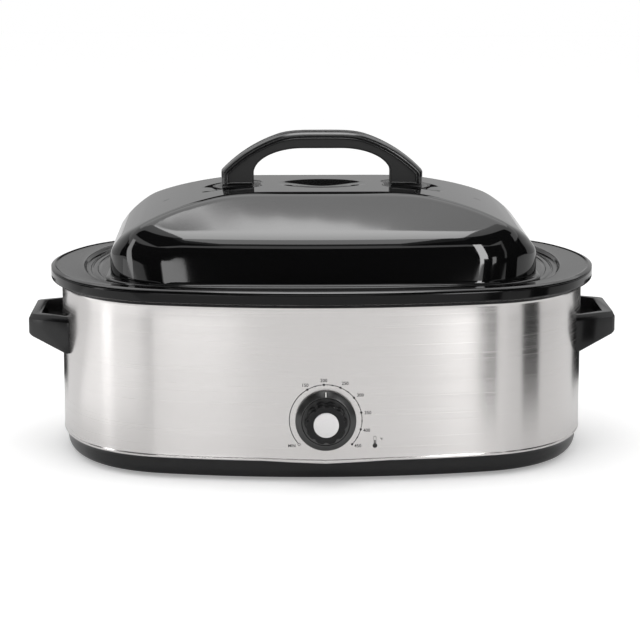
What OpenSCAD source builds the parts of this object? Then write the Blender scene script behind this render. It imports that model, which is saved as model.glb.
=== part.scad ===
// Countertop roaster oven: an oval steel body with a lift-out pan, a wire rack, a lift-off domed lid
// and a turning thermostat knob. Millimetres, +Z up, front at -Y, resting on z = 0.

/* [Body] */
// How far each end bows out past its corners
body_end_bow = 9; // [7:0.5:14]
// How far the front and the back bow out past their corners
body_side_bow = 16; // [12:0.5:22]
// Thickness of the steel band
band_wall = 0.8; // [0.5:0.1:1]
// Height of the steel that shows between base and collar
band_height = 147; // [130:1:165]
// Depth of the shallow V at the bottom of the band's front
vee_drop = 2.7; // [1:0.1:4]
// Half length of that V
vee_half = 62; // [40:1:80]

/* [Base] */
// Height of the black base
base_height = 18; // [15:1:24]
// Thickness of the base's floor and its inner lip
base_wall = 2; // [1.5:0.1:3]
// Width of the base's floor ring
base_ring = 62; // [55:1:75]
// Height of the rubber feet under the base
foot_height = 3; // [2:0.5:6]
// Radius of a rubber foot
foot_r = 11; // [8:0.5:14]
// Distance of a foot's centre from the end of the body
foot_end = 79; // [74:1:90]
// Distance of a foot's centre from the front or the back of the body
foot_side = 77; // [72:1:85]

/* [Collar] */
// Height of the black collar above the steel that shows
collar_height = 18.6; // [16:0.2:24]
// How far the collar stands out past the steel
collar_reach = 10.8; // [9:0.2:13]
// Thickness of the collar's sheet
collar_wall = 1.6; // [1.2:0.1:2]

/* [Pan] */
// Length of the pan's mouth
well_len = 408; // [380:1:440]
// Depth of the pan's mouth, front to back
well_depth = 292; // [270:1:320]
// Corner radius of the mouth
well_corner = 90; // [80:1:95]
// Width of the ledge that the lid stands in, at each end of the mouth
ledge_end = 36; // [32:0.5:40]
// Width of that ledge, at the front and the back
ledge_side = 15; // [13:0.5:18]
// How much larger the ledge's corner radius is than the mouth's
ledge_round = 2; // [0:0.5:4]
// Drop from the flange to the ledge
ledge_drop = 3.4; // [3:0.1:4.5]
// Width of the flange round the ledge, at each end
flange_end = 24; // [20:0.5:28]
// Width of the flange, at the front and the back
flange_side = 11; // [9:0.5:14]
// How much larger the body's corner radius is than the ledge's
flange_round = 28; // [24:0.5:32]
// Height inside the pan, from floor to ledge
pan_height = 145; // [120:1:148]
// How far the pan's wall leans in on its way down
wall_lean = 12; // [8:1:16]
// Radius between the pan's wall and its floor
floor_round = 16; // [10:1:20]
// Thickness of the enamelled sheet
pan_wall = 1.2; // [0.8:0.1:1.6]

/* [Liner and heater] */
// Gap between the pan and the liner
liner_gap = 6.8; // [5:0.2:9]
// Thickness of the liner
liner_wall = 0.9; // [0.6:0.1:1.2]
// Height of the heater's lower edge above the table
heater_z = 96; // [92:1:110]
// Width of the heater band
heater_width = 30; // [20:1:45]
// Thickness of the heater band
heater_wall = 2.2; // [1.5:0.1:3]
// Thickness of the insulation
wrap_wall = 9; // [6:0.5:10]

/* [Lid] */
// Room between the lid's lip and the edge of the ledge, at each end
lid_end_gap = 25.6; // [22:0.2:30]
// That room at the front and the back
lid_side_gap = 6.6; // [5:0.2:9]
// How far the front and the back of the lid bow out past its corners
lid_bow = 8; // [4:0.5:12]
// Corner radius of the lid at its lip
lid_corner = 71; // [68:1:80]
// Height of the lid's top above its lip
lid_height = 83; // [70:1:95]
// Depth of each slope, from the lip to the lid's flat top
lid_slope = 80.4; // [70:0.2:95]
// Height of the steep front wall
lid_wall_height = 46; // [38:1:52]
// Thickness of the lid
lid_wall = 1.6; // [1.2:0.1:2]
// Width of the rolled lip
lip_width = 4; // [3:0.1:5]
// Depth of the flat seats under the handle's feet
seat_drop = 6; // [5:0.2:7]

/* [Lid handle] */
// Length of the handle over its legs
handle_len = 203; // [190:1:210]
// Height of the handle above its feet
handle_height = 52.5; // [46:0.5:60]
// Width of the handle, front to back
handle_width = 30; // [24:1:34]
// How far the handle's arch falls from its crown to its outer corners
handle_fall = 43.6; // [38:0.2:48]
// Width of a leg
handle_leg = 32.6; // [28:0.2:36]
// Thickness of the grip at the middle
handle_grip = 16.5; // [14:0.5:20]
// Width of the raised border along the outer edge
border_width = 5.5; // [4:0.5:7]
// Height of the border above the web, on each face
border_rise = 1.6; // [1:0.1:2.5]
// Height of the heat-proof feet under the handle
spacer_height = 8.5; // [6:0.5:12]

/* [Side handles] */
// How far a side handle stands out past the end of the body
side_reach = 36; // [32:1:40]
// Height of the side handles' top above the table
side_top_z = 142; // [136:1:146]
// Height of the grip bar
side_bar_height = 22; // [18:1:28]
// Height of a handle where it meets the body
side_root_height = 36; // [32:1:40]
// Width of the grip bar
side_bar_width = 14; // [11:1:16]
// Half length of the grip bar, outside
side_bar_half = 41; // [36:1:46]
// Half spread of the arms where they meet the body
side_root_half = 64; // [60:1:68]
// Thickness of an arm
side_arm = 12; // [10:0.5:14]
// Size of the bevel round the handle's top
side_bevel = 5; // [3:0.5:6]

/* [Control] */
// Height of the knob's centre above the table
knob_z = 62; // [58:1:66]
// Radius of the knob's skirt
skirt_r = 29.3; // [27:0.1:31]
// Height of the knob off the steel
knob_height = 21.5; // [19:0.5:24]
// Radius of the knob's grip over its lobes
grip_r = 20.5; // [19:0.1:22]
// Number of lobes on the grip
lobes = 10; // [8:1:12]
// Radius of the hollows between the lobes
hollow_r = 3.4; // [2.5:0.1:4]
// Radius of the silver disc
cap_r = 12.2; // [10:0.1:13]
// Radius of the turning shaft
shaft_r = 3; // [2.5:0.1:3.5]
// Radius of the thermostat's housing
thermostat_r = 17; // [14:0.5:18]
// Depth of the thermostat's housing
thermostat_depth = 19; // [15:0.5:20]
// Bore of the gland where the mains lead enters
gland_bore = 4; // [3:0.1:5]
// How far the gland stands out at the back
gland_reach = 18; // [16:0.5:20]
// Height of the gland's centre above the table
gland_z = 45; // [40:1:55]

/* [Rack] */
// Room between the rack's wire and the pan's mouth, at each end
rack_end_gap = 34; // [30:1:50]
// That room at the front and the back
rack_side_gap = 35; // [33:1:45]
// Radius of the rack's frame wire
rack_wire = 2; // [1.5:0.1:2.5]
// Radius of the rack's cross wires
rack_rod = 1.3; // [1:0.1:1.6]
// Number of cross wires
rack_rods = 13; // [9:1:17]
// Height of the rack above the pan's floor
rack_stand = 15; // [10:1:25]
// Height of the rack's lifting handles
rack_lift = 72; // [40:1:90]

/* [Hidden] */

seat_gap = 0.3;   // rest gap between a lift-out piece and its seat
fit_gap = 0.1;    // gap between fixed pieces that sit in each other
run_gap = 0.05;   // radial running gap of the knob's shaft
sheet_gap = 0.3;  // gap between nested sheets
through = 1;      // how far a cutter runs past a face
arc_fn = 180;

// Plan sizes, from the pan's mouth outwards, and those of what stands in or on them
ledge_len = well_len + 2 * ledge_end;
ledge_depth = well_depth + 2 * ledge_side;
ledge_corner = well_corner + ledge_round;
body_len = ledge_len + 2 * flange_end;
body_depth = ledge_depth + 2 * flange_side;
body_corner = ledge_corner + flange_round;
foot_x = body_len / 2 - foot_end;
foot_y = body_depth / 2 - foot_side;
lid_len = ledge_len - 2 * lid_end_gap;
lid_depth = ledge_depth - 2 * lid_side_gap;
lid_top_depth = lid_depth - 2 * lid_slope;
rack_len = well_len - 2 * rack_end_gap;
rack_depth = well_depth - 2 * rack_side_gap;

// Heights, from the table up
base_z = foot_height;
band_z = base_z + base_height;
collar_z = band_z + band_height;
flange_z = collar_z + collar_height;            // underside of the pan's flange
flange_top = flange_z + seat_gap + pan_wall;
ledge_top = flange_top - ledge_drop;
band_top = ledge_top - pan_wall - sheet_gap - liner_wall;
pan_floor = ledge_top - pan_height;             // inside face of the pan's floor
liner_floor = pan_floor - pan_wall - liner_gap; // inside face of the liner's floor
lid_z = ledge_top + seat_gap;
lid_top = lid_z + lid_height;

// An oval is [half length, half depth, corner radius, end bow, side bow]. Two large arcs bow the
// ends and the sides, and run tangent into four corner arcs.
body_oval = [body_len / 2, body_depth / 2, body_corner, body_end_bow, body_side_bow];
pan_bow = 8;        // bow of the mouth's ends and sides
ledge_bow = [9, 12];
ledge_oval = [ledge_len / 2, ledge_depth / 2, ledge_corner, ledge_bow[0], ledge_bow[1]];
well_oval = [well_len / 2, well_depth / 2, well_corner, pan_bow, pan_bow];

function corner_x(o) = o[0] - o[2] - o[3];
function corner_y(o) = o[1] - o[2] - o[4];
function end_x(o) = (pow(o[0] - o[2], 2) - pow(corner_x(o), 2) - pow(corner_y(o), 2)) / (2 * o[3]);
function side_y(o) = (pow(o[1] - o[2], 2) - pow(corner_x(o), 2) - pow(corner_y(o), 2)) / (2 * o[4]);
function end_r(o) = o[0] - end_x(o);
function side_r(o) = o[1] - side_y(o);
function end_angle(o) = atan2(corner_y(o), corner_x(o) - end_x(o));
function side_angle(o) = atan2(corner_y(o) - side_y(o), corner_x(o));
// Depth of an oval, grown by off, at a distance x from the middle of its front
function depth_at(o, x, off) = side_y(o) + sqrt(pow(side_r(o) + off, 2) - x * x);
// Length of an oval, grown by off, at a distance y from the middle of its end
function length_at(o, y, off) = end_x(o) + sqrt(pow(end_r(o) + off, 2) - y * y);

function arc_at(c, r, a) = [c[0] + r * cos(a), c[1] + r * sin(a)];
// One arc of an oval, carrying a profile of [offset from the oval, height] points
module arc_piece(centre, radius, from, to, profile) {
  translate([centre[0], centre[1], 0])
    rotate_extrude(angle = to - from, start = from, $fn = arc_fn)
      polygon([for (p = profile) [radius + p[0], p[1]]]);
}

// A profile swept all the way round an oval, a quarter at a time
module sweep(o, profile) {
  for (m = [0, 1], n = [0, 1])
    mirror([m, 0, 0])
      mirror([0, n, 0]) {
        arc_piece([end_x(o), 0], end_r(o), 0, end_angle(o), profile);
        arc_piece([corner_x(o), corner_y(o)], o[2], end_angle(o), side_angle(o), profile);
        arc_piece([0, side_y(o)], side_r(o), side_angle(o), 90, profile);
      }
}

// A quarter of an oval grown by off, as points, and the whole ring of 4 * (ends + corners + sides)
function oval_quarter(o, off, n) = let (ea = end_angle(o), sa = side_angle(o)) concat(
  [for (i = [0:n[0] - 1]) arc_at([end_x(o), 0], end_r(o) + off, ea * i / n[0])],
  [for (i = [0:n[1] - 1]) arc_at([corner_x(o), corner_y(o)], o[2] + off, ea + (sa - ea) * i / n[1])],
  [for (i = [0:n[2]]) arc_at([0, side_y(o)], side_r(o) + off, sa + (90 - sa) * i / n[2])]);
function whole_ring(q) = let (n = len(q) - 1) concat(
  [for (i = [0:n - 1]) q[i]], [for (i = [n:-1:1]) [-q[i][0], q[i][1]]],
  [for (i = [0:n - 1]) -q[i]], [for (i = [n:-1:1]) [q[i][0], -q[i][1]]]);
function lift(pts, z) = [for (p = pts) [p[0], p[1], z]];
function oval_ring(o, off, z) = lift(whole_ring(oval_quarter(o, off, [4, 8, 6])), z);

// A closed skin through rings of points, with a flat bottom and a fan at the top
module loft(rings) {
  n = len(rings[0]);
  m = len(rings);
  top = [0, 0, rings[m - 1][0][2]];
  base = [0, 0, rings[0][0][2]];
  points = concat([for (r = rings, p = r) p], [top, base]);
  faces = concat(
    [for (k = [0:m - 2], i = [0:n - 1]) [k * n + i, (k + 1) * n + i, (k + 1) * n + (i + 1) % n]],
    [for (k = [0:m - 2], i = [0:n - 1]) [k * n + i, (k + 1) * n + (i + 1) % n, k * n + (i + 1) % n]],
    [for (i = [0:n - 1]) [(m - 1) * n + i, m * n, (m - 1) * n + (i + 1) % n]],
    [for (i = [0:n - 1]) [i, (i + 1) % n, m * n + 1]]);
  polyhedron(points = points, faces = faces);
}

// A closed skin through rings of points, whose last ring joins its first, as on a tyre
module belt(rings) {
  n = len(rings[0]);
  m = len(rings);
  faces = concat(
    [for (k = [0:m - 1], i = [0:n - 1]) [k * n + i, ((k + 1) % m) * n + i, ((k + 1) % m) * n + (i + 1) % n]],
    [for (k = [0:m - 1], i = [0:n - 1]) [k * n + i, ((k + 1) % m) * n + (i + 1) % n, k * n + (i + 1) % n]]);
  polyhedron(points = [for (r = rings, p = r) p], faces = faces);
}

// A belt with one profile of [offset from the oval, height] points, and a plate with an oval's outline
module oval_belt(o, profile) {
  belt([for (p = profile) oval_ring(o, p[0], p[1])]);
}
module plate(o, off, z0, z1) {
  loft([oval_ring(o, off, z0), oval_ring(o, off, z1)]);
}

// A cylinder along Y, and one along X
module rod_y(r, y0, y1) {
  translate([0, y1, 0])
    rotate([90, 0, 0])
      cylinder(r = r, h = y1 - y0, $fn = 48);
}
module rod_x(r, x0, x1) {
  translate([x0, 0, 0])
    rotate([0, 90, 0])
      cylinder(r = r, h = x1 - x0, $fn = 48);
}

// ---------------------------------------------------------------- base

screw_r = 1.6;
screw_ring = 3;   // distance of the base screws from the floor ring's inner edge
base_screw_places = concat(
  [for (sx = [-1, 1]) [sx * (body_len / 2 - base_ring + screw_ring), 0]],
  [for (sx = [-1, 1], sy = [-1, 1])
    [sx * body_len / 6, sy * depth_at(body_oval, body_len / 6, screw_ring - base_ring)]]);
foot_places = [for (sx = [-1, 1], sy = [-1, 1]) [sx * foot_x, sy * foot_y]];
stem_r = 3;

module base_tray() {
  inner = -band_wall - sheet_gap;
  color("#1b1b1c")
    difference() {
      oval_belt(body_oval, [
        [inner, band_z + 6], [inner, band_z - 0.4],
        [inner - 1.5, band_z - 1.2], [-3.2, base_z + base_height / 2],
        [-4.6, base_z + 3.6], [-7, base_z + 0.9], [-11, base_z],
        [-base_ring, base_z], [-base_ring, base_z + base_wall], [-10, base_z + base_wall],
        [-5.2, base_z + base_height / 2], [inner - base_wall, band_z + 6]]);
      for (p = base_screw_places)
        translate([p[0], p[1], base_z - through])
          cylinder(r = screw_r + fit_gap, h = base_wall + 2 * through, $fn = 24);
      for (p = foot_places)
        translate([p[0], p[1], base_z - through])
          cylinder(r = stem_r + fit_gap, h = base_wall + 2 * through, $fn = 32);
    }
}

module bottom_plate() {
  color("#8d8f91")
    difference() {
      plate(body_oval, 2 * screw_ring - base_ring, base_z + base_wall, base_z + base_wall + 1);
      for (p = base_screw_places)
        translate([p[0], p[1], base_z])
          cylinder(r = screw_r + fit_gap, h = base_wall + 2 * through, $fn = 24);
    }
}

module feet() {
  color("#2a2a2a")
    for (p = foot_places)
      translate([p[0], p[1], 0]) {
        cylinder(r = foot_r, h = base_z, $fn = 64);
        cylinder(r = stem_r, h = base_z + base_wall + 1, $fn = 32);
        translate([0, 0, base_z + base_wall])
          cylinder(r = stem_r + 2, h = 1.4, $fn = 48);
      }
}

module base_screws() {
  color("#b9bbbd")
    for (p = base_screw_places)
      translate([p[0], p[1], base_z]) {
        translate([0, 0, -1.4])
          cylinder(r = screw_r * 1.9, h = 1.4, $fn = 32);
        translate([0, 0, -through])
          cylinder(r = screw_r, h = base_wall + 4, $fn = 24);
      }
}

// ---------------------------------------------------------------- outer band and collar

bushing_r = shaft_r + 2;
handle_screw_y = side_root_half - side_arm / 2 - 4;
handle_screw_z = side_top_z - side_root_height / 2;
handle_screw_r = 1.8;
gland_nozzle = gland_bore + 4;

// The band's lower edge dips in a shallow V at the middle of the front
function dip_at(p) = p[1] < 0 ? vee_drop * max(0, 1 - abs(p[0]) / vee_half) : 0;
function dipped(ring) = [for (p = ring) [p[0], p[1], p[2] - dip_at(p)]];

module outer_band() {
  color("#c6c3c1")
    difference() {
      belt([dipped(oval_ring(body_oval, -band_wall, band_z)), dipped(oval_ring(body_oval, 0, band_z)),
        oval_ring(body_oval, 0, band_top), oval_ring(body_oval, -band_wall, band_top)]);
      translate([0, 0, knob_z])
        rod_y(bushing_r + fit_gap, -body_depth, 0);
      translate([0, 0, gland_z])
        rod_y(gland_nozzle + fit_gap, 0, body_depth);
      for (sy = [-1, 1])
        translate([0, sy * handle_screw_y, handle_screw_z])
          rod_x(handle_screw_r + fit_gap, -body_len, body_len);
    }
}

module rim_collar() {
  lip = 1.2;
  turn_z = collar_z + collar_height * 0.5;
  foot = -band_wall - 0.2;
  color("#151516")
    oval_belt(body_oval, [
      [sheet_gap, collar_z], [lip + sheet_gap, collar_z],
      [collar_reach - 0.8, turn_z - 1], [collar_reach, turn_z],
      [collar_reach, flange_z - 0.8], [collar_reach - 0.8, flange_z],
      [foot, flange_z], [foot, band_top + liner_wall],
      [foot + collar_wall, band_top + liner_wall], [foot + collar_wall, flange_z - collar_wall],
      [collar_reach - collar_wall, flange_z - collar_wall],
      [collar_reach - collar_wall, turn_z + 0.6], [sheet_gap, collar_z + 2.6]]);
}

// ---------------------------------------------------------------- liner, heater, insulation

// Lean of the pan's wall, and of all that follows it, at a height z
function lean_at(z) = -wall_lean * (ledge_top - z) / (pan_height - floor_round);
pan_out = pan_wall;
liner_in = pan_out + liner_gap;
liner_out = liner_in + liner_wall;
floor_turn = pan_floor + floor_round;

module liner() {
  top = band_top + liner_wall;
  low = liner_floor - liner_wall;
  bend = liner_floor + floor_round;
  lo = lean_at(bend);
  k = floor_round;
  color("#b7b4ae")
    loft([
      oval_ring(well_oval, liner_out + lo - k, low),
      oval_ring(well_oval, liner_out + lo - k * 0.29, low + k * 0.29),
      oval_ring(well_oval, liner_out + lo, bend - liner_wall),
      oval_ring(well_oval, liner_out + lean_at(band_top - 2), band_top - 2),
      oval_ring(well_oval, liner_out + 1, band_top),
      oval_ring(body_oval, collar_wall - band_wall - 0.4, band_top),
      oval_ring(body_oval, collar_wall - band_wall - 0.4, top),
      oval_ring(well_oval, liner_in + 1.2, top),
      oval_ring(well_oval, liner_in + lean_at(top - 2.4), top - 2.4),
      oval_ring(well_oval, liner_in + lo, bend),
      oval_ring(well_oval, liner_in + lo - k * 0.29, liner_floor + k * 0.29),
      oval_ring(well_oval, liner_in + lo - k, liner_floor)]);
}

module heater_band() {
  a = liner_out + fit_gap;
  z1 = heater_z + heater_width;
  color("#9a958c")
    sweep(well_oval, [[a + lean_at(heater_z), heater_z], [a + heater_wall + lean_at(heater_z), heater_z],
      [a + heater_wall + lean_at(z1), z1], [a + lean_at(z1), z1]]);
}

module insulation_wrap() {
  a = liner_out + heater_wall + 2 * fit_gap;
  z0 = heater_z;
  z1 = band_top - 8;
  color("#e3dccb")
    sweep(well_oval, [[a + lean_at(z0), z0], [a + wrap_wall + lean_at(z0), z0],
      [a + wrap_wall + lean_at(z1), z1], [a + lean_at(z1), z1]]);
}

terminal_gap = 26;
terminal_r = 1;
terminal_y = well_depth / 2 + liner_out + fit_gap + heater_wall / 2 + lean_at(heater_z);

module heater_terminals() {
  color("#c9a24b")
    for (sx = [-1, 1])
      translate([sx * terminal_gap / 2, terminal_y, heater_z - 16])
        cylinder(r = terminal_r, h = 16 - 0.05, $fn = 24);
}

// ---------------------------------------------------------------- control

steel_front = -body_depth / 2;
bracket_wall = 1.2;
bracket_y = steel_front + band_wall + 0.9;       // front face of the bracket
thermostat_y = bracket_y + bracket_wall;         // front face of the thermostat
thermostat_back = thermostat_y + thermostat_depth;
bushing_tip = steel_front - 3.6;
tab_x = thermostat_r * 0.55;                     // the thermostat's two tabs
tab_y = thermostat_y + 12;
tab_z = knob_z - thermostat_r - 5;

module thermostat_body() {
  color("#d8d2c2")
    difference() {
      union() {
        translate([0, 0, knob_z])
          rod_y(thermostat_r, thermostat_y, thermostat_back);
        translate([0, 0, knob_z])
          rod_y(bushing_r, bushing_tip, thermostat_y + 0.5);
        for (sx = [-1, 1])
          translate([sx * tab_x - 2, tab_y, tab_z])
            cube([4, 0.9, 9]);
      }
      translate([0, 0, knob_z])
        rod_y(shaft_r + run_gap, bushing_tip - through, thermostat_y + 11);
    }
}

module thermostat_bracket() {
  wide = 2 * thermostat_r + 16;
  tall = 2 * thermostat_r + 6;
  color("#a9acae")
    difference() {
      translate([-wide / 2, bracket_y, knob_z - tall / 2])
        cube([wide, bracket_wall, tall]);
      translate([0, 0, knob_z])
        rod_y(bushing_r + fit_gap, bracket_y - through, bracket_y + bracket_wall + through);
    }
}

bulb_r = 3;
bulb_z = knob_z + thermostat_r + 6;
bulb_y = -(well_depth / 2 + liner_out + lean_at(bulb_z + bulb_r) + bulb_r + fit_gap);

module thermostat_bulb() {
  color("#b87545") {
    translate([0, bulb_y, bulb_z])
      rod_x(bulb_r, -28, 28);
    translate([0, bulb_y, knob_z + thermostat_r + 0.05])
      cylinder(r = 1.1, h = bulb_z - knob_z - thermostat_r, $fn = 24);
  }
}

// A lead of straight runs with ball corners
module lead(path, r) {
  for (i = [0:len(path) - 2]) {
    d = path[i + 1] - path[i];
    l = norm(d);
    translate(path[i]) {
      rotate([0, acos(d[2] / l), atan2(d[1], d[0])])
        cylinder(r = r, h = l, $fn = 24);
      if (i > 0)
        sphere(r = r * 1.08, $fn = 24);
    }
  }
}

lead_r = 1.5;
lead_z = base_z + base_wall + 1 + lead_r + 0.3;
gland_inner = body_depth / 2 - band_wall - 4;    // inner end of the gland
lead_front = tab_y + 0.5;

module wiring() {
  color("#c23b2e") {
    lead([[0, gland_inner - 0.2, gland_z], [0, gland_inner - 7, gland_z],
      [tab_x, gland_inner - 14, lead_z], [tab_x, lead_front, lead_z],
      [tab_x, lead_front, tab_z - 0.2]], lead_r);
    lead([[-terminal_gap / 2, terminal_y, heater_z - 16.2], [-terminal_gap / 2, terminal_y, gland_z - 12],
      [-tab_x, gland_inner - 24, lead_z], [-tab_x, lead_front, lead_z],
      [-tab_x, lead_front, tab_z - 0.2]], lead_r);
  }
}

module cord_gland() {
  face = body_depth / 2;
  flange_r = gland_nozzle + 4;
  color("#1d1d1e")
    translate([0, 0, gland_z])
      difference() {
        union() {
          rod_y(gland_nozzle, gland_inner, face + 1);
          rod_y(flange_r, face + 0.3, face + 3.3);
          translate([0, face + 3.3, 0])
            rotate([-90, 0, 0])
              cylinder(r1 = gland_nozzle, r2 = gland_bore + 2, h = gland_reach - 3.3, $fn = 48);
        }
        rod_y(gland_bore, gland_inner - through, face + gland_reach + through);
      }
}

// ---------------------------------------------------------------- side handles

bar_x = body_len / 2 + side_reach;
blank_x = body_len / 2 - 30;    // where the blank starts, inside the body that then cuts it
cut_x = blank_x - 10;
side_outer = [[blank_x, -side_root_half], [body_len / 2 - 9, -side_root_half],
  [bar_x - 4, -side_bar_half - 3], [bar_x, -side_bar_half + 2], [bar_x, side_bar_half - 2],
  [bar_x - 4, side_bar_half + 3], [body_len / 2 - 9, side_root_half], [blank_x, side_root_half]];
side_inner = [[cut_x, -side_root_half + side_arm], [body_len / 2 - 5, -side_root_half + side_arm],
  [bar_x - side_bar_width, -side_bar_half + 6], [bar_x - side_bar_width, side_bar_half - 6],
  [body_len / 2 - 5, side_root_half - side_arm], [cut_x, side_root_half - side_arm]];

module side_handle() {
  low = side_top_z - side_root_height;
  low_bar = side_top_z - side_bar_height;
  inset = (side_root_half - side_bevel * 0.9) / side_root_half;
  color("#161617")
    difference() {
      intersection() {
        union() {
          translate([0, 0, low])
            linear_extrude(height = side_root_height - side_bevel)
              polygon(side_outer);
          hull() {
            translate([0, 0, side_top_z - side_bevel])
              linear_extrude(height = 0.02)
                polygon(side_outer);
            translate([0, 0, side_top_z - 0.02])
              linear_extrude(height = 0.02)
                polygon([for (p = side_outer) [p[0] - side_bevel * 0.5, p[1] * inset]]);
          }
        }
        translate([0, body_depth / 2, 0])
          rotate([90, 0, 0])
            linear_extrude(height = body_depth)
              polygon([[cut_x, low], [body_len / 2 - 6, low], [bar_x - 4, low_bar],
                [bar_x - 1, low_bar + 1.6], [bar_x + 1, low_bar + 4], [bar_x + 1, side_top_z + 1],
                [cut_x, side_top_z + 1]]);
      }
      translate([0, 0, low - through])
        linear_extrude(height = side_root_height + 2 * through)
          polygon(side_inner);
      plate(body_oval, sheet_gap, low - through, side_top_z + through);
      for (sy = [-1, 1])
        translate([0, sy * handle_screw_y, handle_screw_z])
          rod_x(handle_screw_r + fit_gap, 0, handle_screw_end + 0.5);
    }
}

handle_root_x = length_at(body_oval, handle_screw_y, 0);
handle_screw_end = handle_root_x + side_arm - 5; // the screws end inside the arms

module side_handle_left() {
  mirror([1, 0, 0])
    side_handle();
}

module side_handle_right() {
  side_handle();
}

module side_handle_screws() {
  head = handle_root_x - band_wall - 1.8;
  color("#b9bbbd")
    for (sx = [0, 180], sy = [-1, 1])
      rotate([0, 0, sx])
        translate([0, sy * handle_screw_y, handle_screw_z]) {
          rod_x(handle_screw_r, head - 1, handle_screw_end);
          rod_x(handle_screw_r * 2, head - 2.4, head);
        }
}

// ---------------------------------------------------------------- pan and rack

module roasting_pan() {
  edge = collar_reach - 0.6;
  bend = floor_turn;
  lo = lean_at(bend);
  k = floor_round;
  under = ledge_top - pan_wall;
  flange_low = flange_top - pan_wall;
  color("#111112")
    loft(concat(
      [for (t = [1, 0.62, 0.29, 0.08]) oval_ring(well_oval, pan_out + lo - k * t,
        bend - sqrt(1 - pow(1 - t, 2)) * (k + pan_wall))],
      [oval_ring(well_oval, pan_out + lo, bend),
      oval_ring(well_oval, pan_out + lean_at(ledge_top - 4), ledge_top - 4),
      oval_ring(well_oval, pan_out + 1.6, under),
      oval_ring(ledge_oval, -0.6, under), oval_ring(ledge_oval, 0.3, under + 0.7),
      oval_ring(ledge_oval, 1.5, flange_low),
      oval_ring(body_oval, edge - 2.2, flange_low), oval_ring(body_oval, edge - 1.2, flange_z + seat_gap),
      oval_ring(body_oval, edge - 0.3, flange_z + seat_gap), oval_ring(body_oval, edge, flange_top - 0.6),
      oval_ring(body_oval, edge - 0.5, flange_top + 0.3), oval_ring(body_oval, edge - 1.6, flange_top + 0.4),
      oval_ring(body_oval, edge - 3, flange_top),
      oval_ring(ledge_oval, 1.3, flange_top), oval_ring(ledge_oval, 0, flange_top - 0.8),
      oval_ring(ledge_oval, -0.9, ledge_top + 0.6), oval_ring(ledge_oval, -2, ledge_top),
      oval_ring(well_oval, 2.4, ledge_top), oval_ring(well_oval, 0.6, ledge_top - 0.7),
      oval_ring(well_oval, lean_at(ledge_top - 2.4), ledge_top - 2.4)],
      [for (t = [0, 0.08, 0.29, 0.62, 1]) oval_ring(well_oval, lo - k * t,
        bend - sqrt(1 - pow(1 - t, 2)) * k)]));
}

rack_z = pan_floor + seat_gap + rack_stand;      // centre of the rack's frame wire
rack_corner = 80;                                // corner radius of the frame
rack_handle_half = 34;
rack_bail = rack_wire * 0.85;                    // wire radius of the lifting handles
rack_bend = 9;                                   // bend radius at their corners
rack_leg_x = rack_len * 0.3;

// A quarter of the rack's frame, and half of a lifting handle with its round bend
module rack_quadrant() {
  x = rack_len / 2;
  y = rack_depth / 2;
  translate([0, 0, rack_z]) {
    translate([0, y, 0])
      rod_x(rack_wire, 0, x - rack_corner);
    wire_bend([x - rack_corner, y - rack_corner, 0], rack_corner, rack_wire);
    translate([x, 0, 0])
      rod_y(rack_wire, 0, y - rack_corner);
  }
  translate([x, 0, rack_z]) {
    translate([0, rack_handle_half, 0])
      cylinder(r = rack_bail, h = rack_lift - rack_bend, $fn = 48);
    translate([0, rack_handle_half - rack_bend, rack_lift - rack_bend])
      rotate([90, 0, 90])
        wire_bend([0, 0, 0], rack_bend, rack_bail);
    translate([0, 0, rack_lift])
      rod_y(rack_bail, 0, rack_handle_half - rack_bend);
  }
}

// A quarter of a wire ring
module wire_bend(centre, radius, wire) {
  translate(centre)
    rotate_extrude(angle = 90, $fn = arc_fn)
      translate([radius, 0])
        circle(r = wire, $fn = 48);
}

module roasting_rack() {
  pitch = rack_len * 0.88 / (rack_rods - 1);
  long_y = rack_depth * 0.22;
  long_half = rack_len / 2;
  color("#b9bcbf") {
    for (m = [0, 1], n = [0, 1])
      mirror([m, 0, 0])
        mirror([0, n, 0])
          rack_quadrant();
    for (i = [0:rack_rods - 1]) {
      x = (i - (rack_rods - 1) / 2) * pitch;
      half = rack_half_at(abs(x));
      translate([x, 0, rack_z + rack_wire * 0.65])
        rod_y(rack_rod, -half, half);
    }
    for (sy = [-1, 1])
      translate([0, sy * long_y, rack_z - rack_wire * 0.2])
        rod_x(rack_rod * 1.15, -long_half, long_half);
    for (sx = [-1, 1], sy = [-1, 1])
      translate([sx * rack_leg_x, sy * rack_half_at(rack_leg_x), rack_z - rack_stand])
        cylinder(r = rack_wire * 0.8, h = rack_stand, $fn = 24);
  }
}

// Half depth of the rack's frame at a distance x from its middle
function rack_half_at(x) = let (c = rack_len / 2 - rack_corner) x < c ? rack_depth / 2
  : rack_depth / 2 - rack_corner + sqrt(pow(rack_corner, 2) - pow(x - c, 2));

// ---------------------------------------------------------------- lid

arch_power = 3.5;
arch_z = lid_z + 8;      // height at which the end arch starts
arch_rise = lid_top - arch_z;
crease_z = lid_z + lid_wall_height;
root_x = lid_len / 2 - lip_width - 1;
root_y = lid_depth / 2 - lip_width - 1;
wall_taper = 5.5;        // how far the steep front wall leans in on its way up
crease_y = root_y - wall_taper;
roof_edge_z = lid_top - 2;

// Height of the lid's top over a point of its plan: the lower of the end arch and the front slope
function arch_at(x) = arch_z + arch_rise * sqrt(max(0, 1 - pow(min(abs(x) / root_x, 1), arch_power)));
function slope_at(y) = abs(y) <= lid_top_depth / 2 ? lid_top + 40 * (1 - abs(y) * 2 / lid_top_depth)
  : roof_edge_z - (abs(y) - lid_top_depth / 2) * (roof_edge_z - crease_z) / (crease_y - lid_top_depth / 2);
function blend_min(a, b, k) = let (h = max(0, min(1, 0.5 + (b - a) / (2 * k))))
  b * (1 - h) + a * h - k * h * (1 - h);
function lid_at(p) = blend_min(arch_at(p[0]), slope_at(p[1]), 7);
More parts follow.
